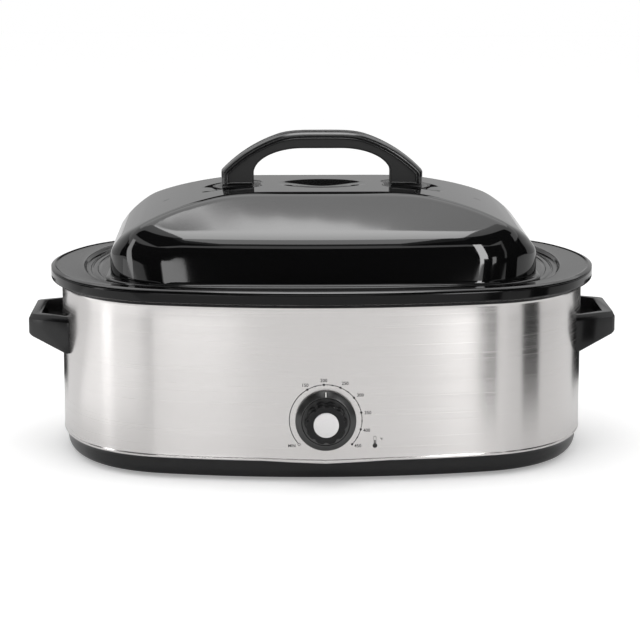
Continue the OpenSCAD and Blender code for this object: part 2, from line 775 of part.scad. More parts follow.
// Half length of the lid at a height z, from the arch
function lid_half_at(z) = root_x * pow(1 - pow(max(0, (z - arch_z) / arch_rise), 2), 1 / arch_power);

// A quarter of a rounded rectangle, and the whole ring of 64 points
function quarter(x, y, r) = concat(
  [for (i = [0:2]) [x, (y - r) * i / 3]],
  [for (j = [0:9]) [x - r + r * cos(10 * j), y - r + r * sin(10 * j)]],
  [for (i = [1:4]) [(x - r) * (1 - i / 4), y]]);
function ring(x, y, r) = whole_ring(quarter(x, y, r));

// Draws the front and the back of a lid ring in towards its corners, and leaves the flat top as it is
bow_x = lid_len / 2 - lid_corner;
function bow_share(x) = x < bow_x ? pow(x / bow_x, 2) : 2 * x / bow_x - 1;
function bowed(ring) = [for (p = ring) [p[0], p[1] - sign(p[1]) * lid_bow * bow_share(abs(p[0]))
  * max(0, abs(p[1]) - lid_top_depth / 2) / lid_slope, p[2]]];

crease_x = lid_half_at(crease_z);
crease_r = lid_corner - 10;
crease_ring = ring(crease_x, crease_y, crease_r);

// Rings of the outer skin, from the lip up, drawn in by inset
function lip_rings(t) = [
  lift(ring(lid_len / 2 - 1.4 - t, lid_depth / 2 - 1.4 - t, lid_corner - 1.4), lid_z),
  lift(ring(lid_len / 2 - t, lid_depth / 2 - t, lid_corner), lid_z + 0.7),
  lift(ring(lid_len / 2 - t, lid_depth / 2 - t, lid_corner), lid_z + 2.6),
  lift(ring(lid_len / 2 - 1.2 - t, lid_depth / 2 - 1.2 - t, lid_corner - 1), lid_z + 3.6)];
function wall_ring(f, t) = let (z = lid_z + 4.4 + f * (crease_z - lid_z - 4.4),
    pts = ring(lid_half_at(z) - t, root_y - wall_taper * f - t, lid_corner - 5 - (5 * f)))
  [for (i = [0:len(pts) - 1]) let (top = lid_at(crease_ring[i]) - 2.5)
    [pts[i][0], pts[i][1], lid_z + 4.4 + f * (top - lid_z - 4.4)]];
function roof_ring(s, t) = let (pts = ring(crease_x - s, crease_y - s, max(crease_r - s, 3)))
  [for (p = pts) [p[0] - t * sign(p[0]) * min(1, abs(p[0]) / 40),
    p[1] - t * sign(p[1]) * min(1, abs(p[1]) / 40), lid_at(p) - t - (s < 1 ? 0.9 : 0)]];
function top_ring(k, t) = let (s = crease_y - 12)
  [for (p = ring(crease_x - s, 12, 3)) let (q = [p[0] * k, p[1] * k]) [q[0], q[1], lid_at(q) - t]];

outer_rings = concat(lip_rings(0), [for (f = [0, 0.3, 0.6, 0.85, 1]) wall_ring(f, 0)],
  [for (s = [0.8, 4, 10, 22, 36, 50, 62, 70, 78, 92, 110]) roof_ring(s, 0)], [top_ring(0.6, 0)]);
inner_rings = concat([lift(ring(root_x - lid_wall, root_y - lid_wall, lid_corner - 7), lid_z - through)],
  [for (f = [0, 0.3, 0.6, 1]) wall_ring(f, lid_wall)],
  [for (s = [4, 16, 36, 56, 70, 86, 110]) roof_ring(s, lid_wall)], [top_ring(0.6, lid_wall)]);

handle_leg_x = handle_len / 2 - handle_leg / 2;
seat_z = arch_at(handle_leg_x) - seat_drop;      // flat seat under a handle foot
seat_half = [handle_leg / 2 + 8, handle_width / 2 + 3];
lid_screw_r = 2;
lid_screw_bite = 20;     // how deep the hole for a lid screw goes into a leg
washer_wall = 1.1;
vent_x = lid_len * 0.368;

// A plate with round ends along X, used for seats and handle feet
module pill(half, z0, z1) {
  r = min(half[0], half[1]);
  run = half[0] - r;
  translate([0, 0, z0]) {
    for (s = [-1, 1])
      translate([s * run, 0, 0])
        cylinder(r = r, h = z1 - z0, $fn = 48);
    if (run > 0.01)
      translate([-run, -r, 0])
        cube([2 * run, 2 * r, z1 - z0]);
  }
}

module lid_shell() {
  color("#101011")
    difference() {
      loft([for (r = outer_rings) bowed(r)]);
      difference() {
        loft([for (r = inner_rings) bowed(r)]);
        for (s = [-1, 1])
          translate([s * handle_leg_x, 0, 0])
            pill([seat_half[0] + lid_wall, seat_half[1] + lid_wall], seat_z - lid_wall, lid_top + through);
      }
      for (s = [-1, 1]) {
        translate([s * handle_leg_x, 0, 0])
          pill(seat_half, seat_z, lid_top + through);
        translate([s * handle_leg_x, 0, seat_z - lid_wall - through])
          cylinder(r = lid_screw_r + 0.3, h = lid_wall + 2 * through, $fn = 32);
        translate([s * vent_x - 3.5, -1.2, arch_at(vent_x) - 8])
          cube([7, 2.4, 16]);
      }
    }
}

// ---------------------------------------------------------------- lid handle

handle_low = seat_z + spacer_height + fit_gap;   // underside of the handle's legs
handle_top = handle_low + handle_height;
arch_cut = 3.5;                                  // how much the arch's crown is flattened
handle_arch = (pow(handle_len / 2, 2) + pow(handle_fall, 2)) / (2 * handle_fall);

function handle_outline(inset) = let (
    r = handle_arch - inset,
    cz = handle_top + arch_cut - handle_arch,
    hx = handle_len / 2 - inset,
    top = handle_top - inset,
    a0 = acos((top - cz) / r),
    a1 = asin(min(1, hx / r)),
    n = 14,
    arc = [for (i = [0:n]) let (a = a0 + (a1 - a0) * i / n) [r * sin(a), cz + r * cos(a)]])
  concat([[hx, handle_low]], [for (i = [n:-1:0]) arc[i]],
    [for (i = [0:n]) [-arc[i][0], arc[i][1]]], [[-hx, handle_low]]);
function handle_opening() = let (
    hx = handle_len / 2 - handle_leg,
    top = handle_top - handle_grip,
    flat = hx * 0.28,
    rise = (top - handle_low) * 0.7,
    n = 12,
    arc = [for (i = [0:n]) let (a = 90 * i / n) [flat + (hx - flat) * cos(a), top - rise + rise * sin(a)]])
  concat([[hx, handle_low - through]], arc,
    [for (i = [n:-1:0]) [-arc[i][0], arc[i][1]]], [[-hx, handle_low - through]]);

module handle_slab(width, inset) {
  translate([0, width / 2, 0])
    rotate([90, 0, 0])
      linear_extrude(height = width)
        polygon(handle_outline(inset));
}

module lid_handle() {
  web = handle_width - 2 * border_rise;
  color("#171718")
    difference() {
      union() {
        handle_slab(web, 0);
        difference() {
          handle_slab(handle_width, 0);
          handle_slab(handle_width + 2, border_width);
        }
      }
      translate([0, handle_width, 0])
        rotate([90, 0, 0])
          linear_extrude(height = 2 * handle_width)
            polygon(handle_opening());
      for (s = [-1, 1])
        translate([s * handle_leg_x, 0, handle_low - through])
          cylinder(r = lid_screw_r + fit_gap, h = lid_screw_bite + through, $fn = 32);
    }
}

module lid_handle_feet() {
  color("#0f0f10")
    for (s = [-1, 1])
      translate([s * handle_leg_x, 0, 0])
        difference() {
          translate([-handle_leg / 2 + 0.8, -handle_width / 2 + 1.5, seat_z + 0.02])
            cube([handle_leg - 1.6, handle_width - 3, spacer_height]);
          translate([0, 0, seat_z - through])
            cylinder(r = lid_screw_r + 0.3, h = spacer_height + 2 * through, $fn = 32);
        }
}

module lid_handle_screws() {
  color("#b9bbbd")
    for (s = [-1, 1])
      translate([s * handle_leg_x, 0, seat_z - lid_wall - washer_wall - fit_gap]) {
        cylinder(r = lid_screw_r, h = spacer_height + lid_screw_bite, $fn = 32);
        translate([0, 0, -lid_screw_r * 1.1])
          cylinder(r = lid_screw_r * 2.1, h = lid_screw_r * 1.1, $fn = 32);
      }
}

module lid_handle_washers() {
  color("#cfd1d3")
    for (s = [-1, 1])
      translate([s * handle_leg_x, 0, seat_z - lid_wall - washer_wall - fit_gap / 2])
        difference() {
          cylinder(r = lid_screw_r * 3, h = washer_wall, $fn = 48);
          translate([0, 0, -through])
            cylinder(r = lid_screw_r + 0.2, h = 3, $fn = 32);
        }
}

// ---------------------------------------------------------------- knob

knob_back = steel_front - 1.6;                   // back face of the knob's skirt
knob_tip = knob_height - 1.6;                    // the knob's height above that face
skirt_rim = 2.4;
slope_in = skirt_r - 5.4;                        // inner radius of the skirt's bevel
slope_top = 6;
slope_tilt = atan2(slope_top - skirt_rim, skirt_r - slope_in);
pointer_len = 5;
hub_r = shaft_r + 0.02;

// Puts a piece that is built along +Z on the knob's axis, facing the front
module at_knob() {
  translate([0, knob_back, knob_z])
    rotate([90, 0, 0])
      children();
}

module scalloped(r, z0, z1) {
  translate([0, 0, z0])
    linear_extrude(height = z1 - z0)
      difference() {
        circle(r = r, $fn = 120);
        for (i = [0:lobes - 1])
          rotate(90 + i * 360 / lobes)
            translate([r + hollow_r * 0.45, 0])
              circle(r = hollow_r, $fn = 48);
      }
}

// The pointer bar, laid on the skirt's bevel at the top
module pointer_bar(wide, deep) {
  rotate([0, 0, 90])
    translate([(skirt_r + slope_in) / 2, 0, (skirt_rim + slope_top) / 2])
      rotate([0, slope_tilt, 0])
        translate([-pointer_len / 2, -wide / 2, -deep])
          cube([pointer_len, wide, deep + 0.15]);
}

module knob_body() {
  tier = slope_top + (knob_tip - slope_top) * 0.45;
  color("#18181a")
    at_knob()
      difference() {
        union() {
          rotate_extrude($fn = 120)
            polygon([[0, 3.4], [bushing_r + 2.5, 3.4], [bushing_r + 2.5, 0], [skirt_r - 0.6, 0],
              [skirt_r, 0.6], [skirt_r, skirt_rim], [slope_in, slope_top], [grip_r + 1.4, slope_top + 0.4],
              [grip_r + 0.6, slope_top + 1.2], [0, slope_top + 1.2]]);
          scalloped(grip_r, slope_top, tier);
          scalloped(grip_r - 1.1, tier - 0.01, knob_tip);
        }
        translate([0, 0, -through])
          cylinder(r = hub_r, h = knob_tip - 4 + through, $fn = 48);
        translate([0, 0, knob_tip - 1.2])
          cylinder(r = cap_r + fit_gap, h = 2, $fn = 96);
        pointer_bar(1.5, 0.6);
      }
}

module knob_cap() {
  color("#d5d5d6")
    at_knob()
      translate([0, 0, knob_tip - 1.18])
        cylinder(r = cap_r, h = 1.4, $fn = 96);
}

module knob_pointer() {
  color("#f4f4f2")
    at_knob()
      pointer_bar(1.3, 0.5);
}

module knob_shaft() {
  color("#b4b6b8")
    translate([0, 0, knob_z])
      rod_y(shaft_r, knob_back - knob_tip + 4.5, thermostat_y + 10.5);
}

outer_band();
base_tray();
bottom_plate();
feet();
base_screws();
rim_collar();
liner();
heater_band();
insulation_wrap();
heater_terminals();
thermostat_body();
thermostat_bracket();
thermostat_bulb();
wiring();
cord_gland();
side_handle_left();
side_handle_right();
side_handle_screws();
roasting_pan();
roasting_rack();
lid_shell();
lid_handle();
lid_handle_feet();
lid_handle_screws();
lid_handle_washers();
knob_body();
knob_cap();
knob_pointer();
knob_shaft();
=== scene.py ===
"""The looks of a countertop roaster oven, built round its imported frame.

Lengths inside the makers are millimetres, in the frame's axes, and become metres in make_piece.
"""

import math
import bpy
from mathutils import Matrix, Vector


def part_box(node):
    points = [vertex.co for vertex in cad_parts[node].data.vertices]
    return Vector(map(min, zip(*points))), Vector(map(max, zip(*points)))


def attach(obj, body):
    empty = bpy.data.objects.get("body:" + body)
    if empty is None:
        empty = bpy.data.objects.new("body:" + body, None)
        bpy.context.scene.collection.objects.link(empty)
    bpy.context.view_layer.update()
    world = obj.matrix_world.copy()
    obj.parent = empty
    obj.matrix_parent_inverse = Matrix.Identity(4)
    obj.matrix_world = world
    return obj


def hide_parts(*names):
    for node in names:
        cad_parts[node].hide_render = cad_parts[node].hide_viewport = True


bl_info = {
    "name": "Countertop roaster oven",
    "version": (1, 0, 0),
    "blender": (4, 5, 0),
    "location": "View3D > Sidebar > Roaster",
    "description": "Dresses the packed frame of an oval roaster oven with its looks",
    "category": "Object",
}

import bmesh
import bpy
import numpy as np
from mathutils import Vector

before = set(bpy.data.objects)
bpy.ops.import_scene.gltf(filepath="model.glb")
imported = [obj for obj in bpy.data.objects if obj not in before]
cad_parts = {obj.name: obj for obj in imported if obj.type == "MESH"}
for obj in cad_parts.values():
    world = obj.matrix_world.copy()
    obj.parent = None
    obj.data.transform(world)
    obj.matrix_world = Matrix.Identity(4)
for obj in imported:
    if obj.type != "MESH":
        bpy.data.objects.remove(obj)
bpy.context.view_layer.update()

MM = 0.001


def node_box(node):
    """Lowest and highest corner of a CAD node, in millimetres."""
    low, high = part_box(node)
    return low / MM, high / MM


# ---------------------------------------------------------------- sizes that the frame gives

band_low, band_high = node_box("outer_band")
collar_low, collar_high = node_box("rim_collar")
pan_low, pan_high = node_box("roasting_pan")
lid_low, lid_high = node_box("lid_shell")
grip_low, grip_high = node_box("lid_handle")
foot_low, foot_high = node_box("lid_handle_feet")
tray_low, tray_high = node_box("base_tray")
knob_low, knob_high = node_box("knob_body")
rack_low, rack_high = node_box("roasting_rack")

# the photograph shows the edges of the band and the collar this much higher than the frame does
EDGE_RISE = 3.4
BASE_Z = tray_low.z
BAND_Z = band_low.z + EDGE_RISE
COLLAR_Z = collar_low.z + EDGE_RISE
FLANGE_Z = collar_high.z
FLANGE_TOP = pan_high.z - 0.4
LEDGE_TOP = FLANGE_TOP - 3.4
KNOB_Z = (knob_low.z + knob_high.z) / 2


class Oval:
    """An outline of two bowed ends and two bowed sides that run tangent into four corner arcs."""

    def __init__(self, half_x, half_y, corner, end_bow, side_bow):
        self.half_x = half_x
        self.half_y = half_y
        self.corner = corner
        self.corner_x = half_x - corner - end_bow
        self.corner_y = half_y - corner - side_bow
        rest = self.corner_x**2 + self.corner_y**2
        self.end_x = ((half_x - corner) ** 2 - rest) / (2 * end_bow)
        self.side_y = ((half_y - corner) ** 2 - rest) / (2 * side_bow)
        self.end_r = half_x - self.end_x
        self.side_r = half_y - self.side_y
        self.end_angle = math.atan2(self.corner_y, self.corner_x - self.end_x)
        self.side_angle = math.atan2(self.corner_y - self.side_y, self.corner_x)

    def depth_at(self, x, off=0.0):
        """Half depth of the outline, grown by off, at a distance x from the middle of its front."""
        return self.side_y + math.sqrt((self.side_r + off) ** 2 - x * x)

    def ring(self, off, z, parts=(14, 30, 34)):
        """Points once round the outline grown by off, at a height z."""
        arcs = (
            ((self.end_x, 0.0), self.end_r, 0.0, self.end_angle),
            ((self.corner_x, self.corner_y), self.corner, self.end_angle, self.side_angle),
            ((0.0, self.side_y), self.side_r, self.side_angle, math.pi / 2),
        )
        quarter = []
        for ((cx, cy), radius, start, stop), count in zip(arcs, parts):
            reach = radius + off
            for i in range(count):
                a = start + (stop - start) * i / count
                quarter.append((cx + reach * math.cos(a), cy + reach * math.sin(a)))
        quarter.append((0.0, self.half_y + off))
        return lifted(mirrored_ring(quarter), z)


def mirrored_ring(quarter):
    """A whole ring from its first quarter, which runs from the +X axis to the +Y axis."""
    q = np.array(quarter, float)
    second = q[:0:-1] * (-1, 1)
    third = q[:-1] * (-1, -1)
    fourth = q[:0:-1] * (1, -1)
    return np.vstack((q[:-1], second, third, fourth))


def lifted(points, z):
    """Plan points at a height."""
    return np.column_stack((points, np.full(len(points), float(z))))


# outlines of the body, of the lid's ledge in the pan and of the pan's well
BODY = Oval(band_high.x, -band_low.y, 120.0, 9.0, 16.0)
LEDGE = Oval(240.0, 161.0, 92.0, 9.0, 12.0)
WELL = Oval(204.0, 146.0, 90.0, 8.0, 8.0)


# ---------------------------------------------------------------- meshes


def make_piece(name, points, faces, finish, sharp=32.0, recalc=True):
    """A mesh object from millimetre points, smooth except over edges sharper than an angle."""
    mesh = bpy.data.meshes.new(name)
    mesh.from_pydata([tuple(float(c) * MM for c in p) for p in points], [], faces)
    if recalc:
        work = bmesh.new()
        work.from_mesh(mesh)
        bmesh.ops.remove_doubles(work, verts=work.verts, dist=1e-7)
        bmesh.ops.recalc_face_normals(work, faces=work.faces)
        work.to_mesh(mesh)
        work.free()
    mesh.validate()
    mesh.shade_smooth()
    mesh.set_sharp_from_angle(angle=math.radians(sharp))
    mesh.materials.append(finishes[finish])
    return placed(name, mesh)


def placed(name, data):
    """An object in the scene that holds some data."""
    piece = bpy.data.objects.new(name, data)
    bpy.context.scene.collection.objects.link(piece)
    return piece


def skin(rings, closed=False):
    """Points and faces of a skin through rings with the same number of points."""
    count = len(rings[0])
    total = len(rings)
    faces = []
    for k in range(total if closed else total - 1):
        a = k * count
        b = ((k + 1) % total) * count
        for i in range(count):
            j = (i + 1) % count
            faces.append((a + i, a + j, b + j, b + i))
    return np.vstack(rings), faces


def fan(points, faces, first, count, flip=False):
    """Closes a ring of points with a fan round its middle."""
    ring = points[first : first + count]
    points = np.vstack((points, ring.mean(axis=0)))
    hub = len(points) - 1
    for i in range(count):
        j = (i + 1) % count
        faces.append((first + j, first + i, hub) if flip else (first + i, first + j, hub))
    return points, faces


def strip_cap(faces, first, count):
    """Closes a long ring that is the same on both sides of X with a strip across it."""
    half = count // 2
    for i in range(half):
        a, b = first + i, first + i + 1
        c, d = first + (count - i - 1) % count, first + (count - i) % count
        corners = []
        for corner in (a, b, c, d):
            if corner not in corners:
                corners.append(corner)
        if len(corners) > 2:
            faces.append(tuple(corners))


def belt_piece(name, oval, profile, finish, parts=(14, 30, 34), sharp=32.0, bend=None):
    """A closed profile of (offset, height) points carried round an oval."""
    rings = [oval.ring(off, z, parts) for off, z in profile]
    if bend is not None:
        for ring in rings:
            bend(ring)
    points, faces = skin(rings, closed=True)
    return make_piece(name, points, faces, finish, sharp)


def rounded(corners, radius, steps=4):
    """An open chain of plane points with each inner corner rounded."""
    out = [corners[0]]
    for before, here, after in zip(corners, corners[1:], corners[2:]):
        p, q, r = (np.array(v[:2], float) for v in (before, here, after))
        size = here[2] if len(here) > 2 else radius
        u = (p - q) / max(np.linalg.norm(p - q), 1e-9)
        v = (r - q) / max(np.linalg.norm(r - q), 1e-9)
        reach = min(size, 0.49 * np.linalg.norm(p - q), 0.49 * np.linalg.norm(r - q))
        if reach < 1e-4:
            out.append(tuple(q))
            continue
        start, stop = q + u * reach, q + v * reach
        for i in range(steps + 1):
            t = i / steps
            out.append(tuple(start * (1 - t) ** 2 + q * 2 * t * (1 - t) + stop * t * t))
    out.append(corners[-1][:2])
    return out


def wheel(radius, angles, z):
    """A ring of points at some angles, at one radius or one for each angle, and at a height."""
    plan = np.column_stack((radius * np.cos(angles), radius * np.sin(angles)))
    return lifted(plan, z)


def domed(rings):
    """Points and faces of a skin through rings, with a fan on both its ends."""
    points, faces = skin(rings)
    count = len(rings[0])
    points, faces = fan(points, faces, 0, count, flip=True)
    return fan(points, faces, (len(rings) - 1) * count, count)


def plugged(rings, turn=1):
    """Points and faces of a skin through rings, with a flat cap on both its ends."""
    points, faces = skin(rings)
    count = len(rings[0])
    faces.append(tuple(range(count))[::turn])
    faces.append(tuple(range(len(points) - count, len(points)))[::-turn])
    return points, faces


def lathe(name, profile, finish, count):
    """A profile of (radius, height) points turned about the knob's axis."""
    angles = np.arange(count) * 2 * math.pi / count
    points, faces = domed([wheel(radius, angles, height) for radius, height in profile])
    return make_piece(name, [on_knob(p) for p in points], faces, finish, 40.0)


def on_knob(p):
    """From the knob's own axes, with its height towards the front, to the frame."""
    return (p[0], knob_high.y - p[2], KNOB_Z + p[1])


def copy_bevelled(name, node, finish):
    """A copy of a CAD node with its flat faces joined and its edges rounded."""
    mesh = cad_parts[node].data.copy()
    mesh.name = name
    mesh.materials.clear()
    work = bmesh.new()
    work.from_mesh(mesh)
    bmesh.ops.remove_doubles(work, verts=work.verts, dist=1e-6)
    bmesh.ops.dissolve_limit(
        work, angle_limit=math.radians(1.0), verts=work.verts, edges=work.edges
    )
    work.to_mesh(mesh)
    work.free()
    mesh.materials.append(finishes[finish])
    piece = placed(name, mesh)
    bevel = piece.modifiers.new("edges", "BEVEL")
    bevel.width = 1.0 * MM
    bevel.segments = 3
    bevel.limit_method = "ANGLE"
    bevel.angle_limit = math.radians(30.0)
    bevel.harden_normals = False
    return settled(piece, 35.0)


def settled(piece, sharp=32.0):
    """Turns a piece with modifiers into a plain mesh."""
    graph = bpy.context.evaluated_depsgraph_get()
    mesh = bpy.data.meshes.new_from_object(piece.evaluated_get(graph))
    materials = [slot.material for slot in piece.material_slots]
    piece.modifiers.clear()
    old = piece.data
    piece.data = mesh
    mesh.name = piece.name
    if not mesh.materials:
        for material in materials:
            mesh.materials.append(material)
    mesh.shade_smooth()
    mesh.set_sharp_from_angle(angle=math.radians(sharp))
    if isinstance(old, bpy.types.Mesh):
        bpy.data.meshes.remove(old)
    return piece


def dress(piece, body, slot, *nodes):
    """Lets a piece ride on a body and stand for CAD nodes, which it hides; the slot is not used."""
    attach(piece, body)
    if nodes:
        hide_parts(*nodes)


# ---------------------------------------------------------------- finishes


# the range that nearly all of a noise lies in
NOISE_LOW, NOISE_HIGH = 0.3, 0.7


def new_finish(name, colour, roughness, metallic=0.0):
    """A Principled material and its node tree."""
    material = bpy.data.materials.new(name)
    material.use_nodes = True
    tree = material.node_tree
    shader = tree.nodes["Principled BSDF"]
    shader.inputs["Base Color"].default_value = (*colour, 1.0)
    shader.inputs["Roughness"].default_value = roughness
    shader.inputs["Metallic"].default_value = metallic
    material.diffuse_color = (*colour, 1.0)
    return material, tree, shader


def add_node(tree, kind, values):
    """A node of a kind, with constants on its named inputs."""
    node = tree.nodes.new(kind)
    for name, value in values.items():
        node.inputs[name].default_value = value
    return node


def link(tree, start, output, stop, into):
    """Links an output of one node to an input of another."""
    tree.links.new(start.outputs[output], stop.inputs[into])


def grain(tree, scale, stretch=(1.0, 1.0, 1.0), detail=3.0):
    """A noise on the piece's own coordinates, drawn out along its axes."""
    place = tree.nodes.new("ShaderNodeTexCoord")
    mapping = add_node(tree, "ShaderNodeMapping", {"Scale": stretch})
    noise = add_node(tree, "ShaderNodeTexNoise", {"Scale": scale, "Detail": detail})
    link(tree, place, "Object", mapping, "Vector")
    link(tree, mapping, "Vector", noise, "Vector")
    return noise


def spread(tree, noise, low, high):
    """The noise's middle range as a number from low to high."""
    limits = {"From Min": NOISE_LOW, "From Max": NOISE_HIGH, "To Min": low, "To Max": high}
    ramp = add_node(tree, "ShaderNodeMapRange", limits)
    link(tree, noise, "Fac", ramp, "Value")
    return ramp.outputs["Result"]


def tint(tree, noise, dark, light, shader):
    """The noise as a blend of two colours on the shader's base."""
    mix = tree.nodes.new("ShaderNodeMix")
    mix.data_type = "RGBA"
    mix.inputs[6].default_value = (*dark, 1.0)
    mix.inputs[7].default_value = (*light, 1.0)
    tree.links.new(spread(tree, noise, 0.0, 1.0), mix.inputs[0])
    link(tree, mix, 2, shader, "Base Color")


def relief(tree, noise, shader, strength, depth):
    """The noise as a fine relief."""
    bump = add_node(tree, "ShaderNodeBump", {"Strength": strength, "Distance": depth * MM})
    link(tree, noise, "Fac", bump, "Height")
    link(tree, bump, "Normal", shader, "Normal")


def uneven(tree, noise, shader, low, high):
    """The noise as the shader's roughness, from low to high."""
    tree.links.new(spread(tree, noise, low, high), shader.inputs["Roughness"])


def brushed_steel(colour):
    """Stainless sheet with its grain along the length."""
    material, tree, shader = new_finish("brushed_stainless", colour, 0.3, 1.0)
    lines = grain(tree, 1.0, (3.0, 3.0, 2600.0), 4.0)
    uneven(tree, lines, shader, 0.2, 0.28)
    tone = tuple(c * 0.93 for c in colour)
    tint(tree, lines, tone, colour, shader)
    relief(tree, lines, shader, 0.12, 0.02)
    shader.inputs["Anisotropic"].default_value = 0.75
    shader.inputs["Anisotropic Rotation"].default_value = 0.25
    return material


def enamel(name, colour, roughness, wave=0.03, gloss=0.5):
    """Black porcelain enamel, with the slight waviness of a fired coat."""
    material, tree, shader = new_finish(name, colour, roughness)
    shader.inputs["IOR"].default_value = 1.55
    shader.inputs["Specular IOR Level"].default_value = gloss
    relief(tree, grain(tree, 160.0, detail=1.0), shader, wave, 0.05)
    fine = grain(tree, 900.0, detail=2.0)
    uneven(tree, fine, shader, roughness * 0.85, roughness * 1.2)
    return material


def moulded(name, colour, roughness, scale=1400.0, depth=0.03, strength=0.15, gloss=0.5):
    """Moulded plastic or rubber with a fine texture."""
    material, tree, shader = new_finish(name, colour, roughness)
    shader.inputs["IOR"].default_value = 1.5
    shader.inputs["Specular IOR Level"].default_value = gloss
    noise = grain(tree, scale, detail=2.0)
    relief(tree, noise, shader, strength, depth)
    uneven(tree, noise, shader, roughness * 0.9, roughness * 1.1)
    return material


def plain_metal(name, colour, roughness, scale=500.0):
    """Plated or bare metal with faint marks."""
    material, tree, shader = new_finish(name, colour, roughness, 1.0)
    noise = grain(tree, scale, detail=4.0)
    uneven(tree, noise, shader, roughness * 0.8, roughness * 1.25)
    tint(tree, noise, tuple(c * 0.92 for c in colour), colour, shader)
    return material


def woven(name, colour, scale=900.0):
    """Felt or sleeving."""
    material, tree, shader = new_finish(name, colour, 0.9)
    noise = grain(tree, scale, detail=5.0)
    tint(tree, noise, tuple(c * 0.7 for c in colour), colour, shader)
    relief(tree, noise, shader, 0.6, 0.3)
    return material


def printed(name, colour):
    """Screen print."""
    material, tree, shader = new_finish(name, colour, 0.55)
    noise = grain(tree, 2500.0, detail=2.0)
    uneven(tree, noise, shader, 0.5, 0.62)
    return material


finishes = {}

NODE_FINISHES = {
    "screw": (
        "base_screws", "thermostat_bracket", "side_handle_screws", "lid_handle_screws",
        "lid_handle_washers", "knob_shaft",
    ),
    "zinc": ("bottom_plate",),
    "rubber": ("feet",),
    "liner": ("liner",),
    "mica": ("heater_band",),
    "felt": ("insulation_wrap",),
    "brass": ("heater_terminals",),
    "ceramic": ("thermostat_body",),
    "copper": ("thermostat_bulb",),
    "sleeve": ("wiring",),
    "satin_plastic": ("cord_gland", "lid_handle"),
    "steel": ("outer_band",),
    "base_enamel": ("base_tray",),
    "collar_enamel": ("rim_collar",),
    "glossy_plastic": ("side_handle_left", "side_handle_right", "lid_handle_feet"),
    "pan_enamel": ("roasting_pan",),
    "chrome": ("roasting_rack",),
    "lid_enamel": ("lid_shell",),
    "knob_plastic": ("knob_body",),
    "silver": ("knob_cap",),
    "white_line": ("knob_pointer",),
}


def make_finishes(colours):
    """Makes all finishes and gives each CAD node its own."""
    plastic, black = tuple(colours.plastic), tuple(colours.enamel)
    finishes.update(
        steel=brushed_steel(tuple(colours.steel)),
        lid_enamel=enamel("lid_enamel", black, 0.045, 0.015),
        pan_enamel=enamel("pan_enamel", black, 0.12, gloss=0.45),
        collar_enamel=enamel("collar_enamel", black, 0.12, gloss=0.2),
        base_enamel=enamel("base_enamel", tuple(colours.base), 0.2, gloss=0.32),
        glossy_plastic=moulded("glossy_black_plastic", plastic, 0.18, strength=0.05, gloss=0.35),
        satin_plastic=moulded("satin_black_plastic", plastic, 0.2, strength=0.08, gloss=0.8),
        matt_plastic=moulded(
            "matt_black_plastic", tuple(colours.web), 0.5, strength=0.2, gloss=0.2
        ),
        knob_plastic=moulded("knob_black_plastic", plastic, 0.16, strength=0.05, gloss=0.28),
        ring=moulded("dark_satin_ring", tuple(colours.ring), 0.3, strength=0.05, gloss=1.0),
        silver=plain_metal("matt_silver_disc", tuple(colours.silver), 0.42, 1800.0),
        print_grey=printed("dial_print", tuple(colours.dial_print)),
        white_line=printed("pointer_white", (0.86, 0.86, 0.84)),
        dark_line=printed("pointer_dark", (0.012, 0.012, 0.012)),
        chrome=plain_metal("chrome_wire", (0.78, 0.79, 0.8), 0.1),
        screw=plain_metal("plated_screw_steel", (0.6, 0.6, 0.61), 0.28),
        zinc=plain_metal("zinc_sheet", (0.42, 0.43, 0.44), 0.42, 60.0),
        liner=plain_metal("coated_liner_steel", (0.52, 0.51, 0.48), 0.4, 40.0),
        copper=plain_metal("bare_copper", (0.75, 0.38, 0.22), 0.3),
        brass=plain_metal("plain_brass", (0.72, 0.53, 0.24), 0.3),
        rubber=moulded("foot_rubber", (0.022, 0.022, 0.022), 0.75, 700.0, 0.06, 0.3),
        ceramic=moulded("cream_ceramic", (0.66, 0.61, 0.5), 0.6, 600.0),
        mica=moulded("pressed_mica", (0.34, 0.31, 0.27), 0.5, 220.0),
        felt=woven("glass_felt", (0.78, 0.72, 0.58)),
        sleeve=woven("red_sleeving", (0.45, 0.05, 0.035), 1600.0),
    )
    for finish, nodes in NODE_FINISHES.items():
        for node in nodes:
            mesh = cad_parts[node].data
            mesh.materials.clear()
            mesh.materials.append(finishes[finish])


# ---------------------------------------------------------------- settings


class RoasterSizes(bpy.types.PropertyGroup):
    """Sizes that a user would change."""

    vee_drop: bpy.props.FloatProperty(
        name="Band dip",
        description="Depth of the shallow V at the middle of the band's lower edge",
        default=2.7, min=0.0, max=5.0,
    )
    crease_soft: bpy.props.FloatProperty(
        name="Lid crease",
        description="Softness of the lid's hips, in millimetres of height",
        default=3.4, min=1.0, max=10.0,
    )
    shoulder_soft: bpy.props.FloatProperty(
        name="Lid shoulder",
        description="Radius where the lid's slope turns into its front wall",
        default=6.5, min=1.0, max=12.0,
    )
    dimple_depth: bpy.props.FloatProperty(
        name="Dimple depth",
        description="Depth of the finger dimple under the lid handle",
        default=3.6, min=0.0, max=6.0,
    )
    dial_radius: bpy.props.FloatProperty(
        name="Dial radius",
        description="Radius of the dial's line round the knob",
        default=34.9, min=31.0, max=40.0,
    )
    figure_height: bpy.props.FloatProperty(
        name="Figure size",
        description="Font size of the dial's figures",
        default=4.5, min=2.0, max=8.0,
    )


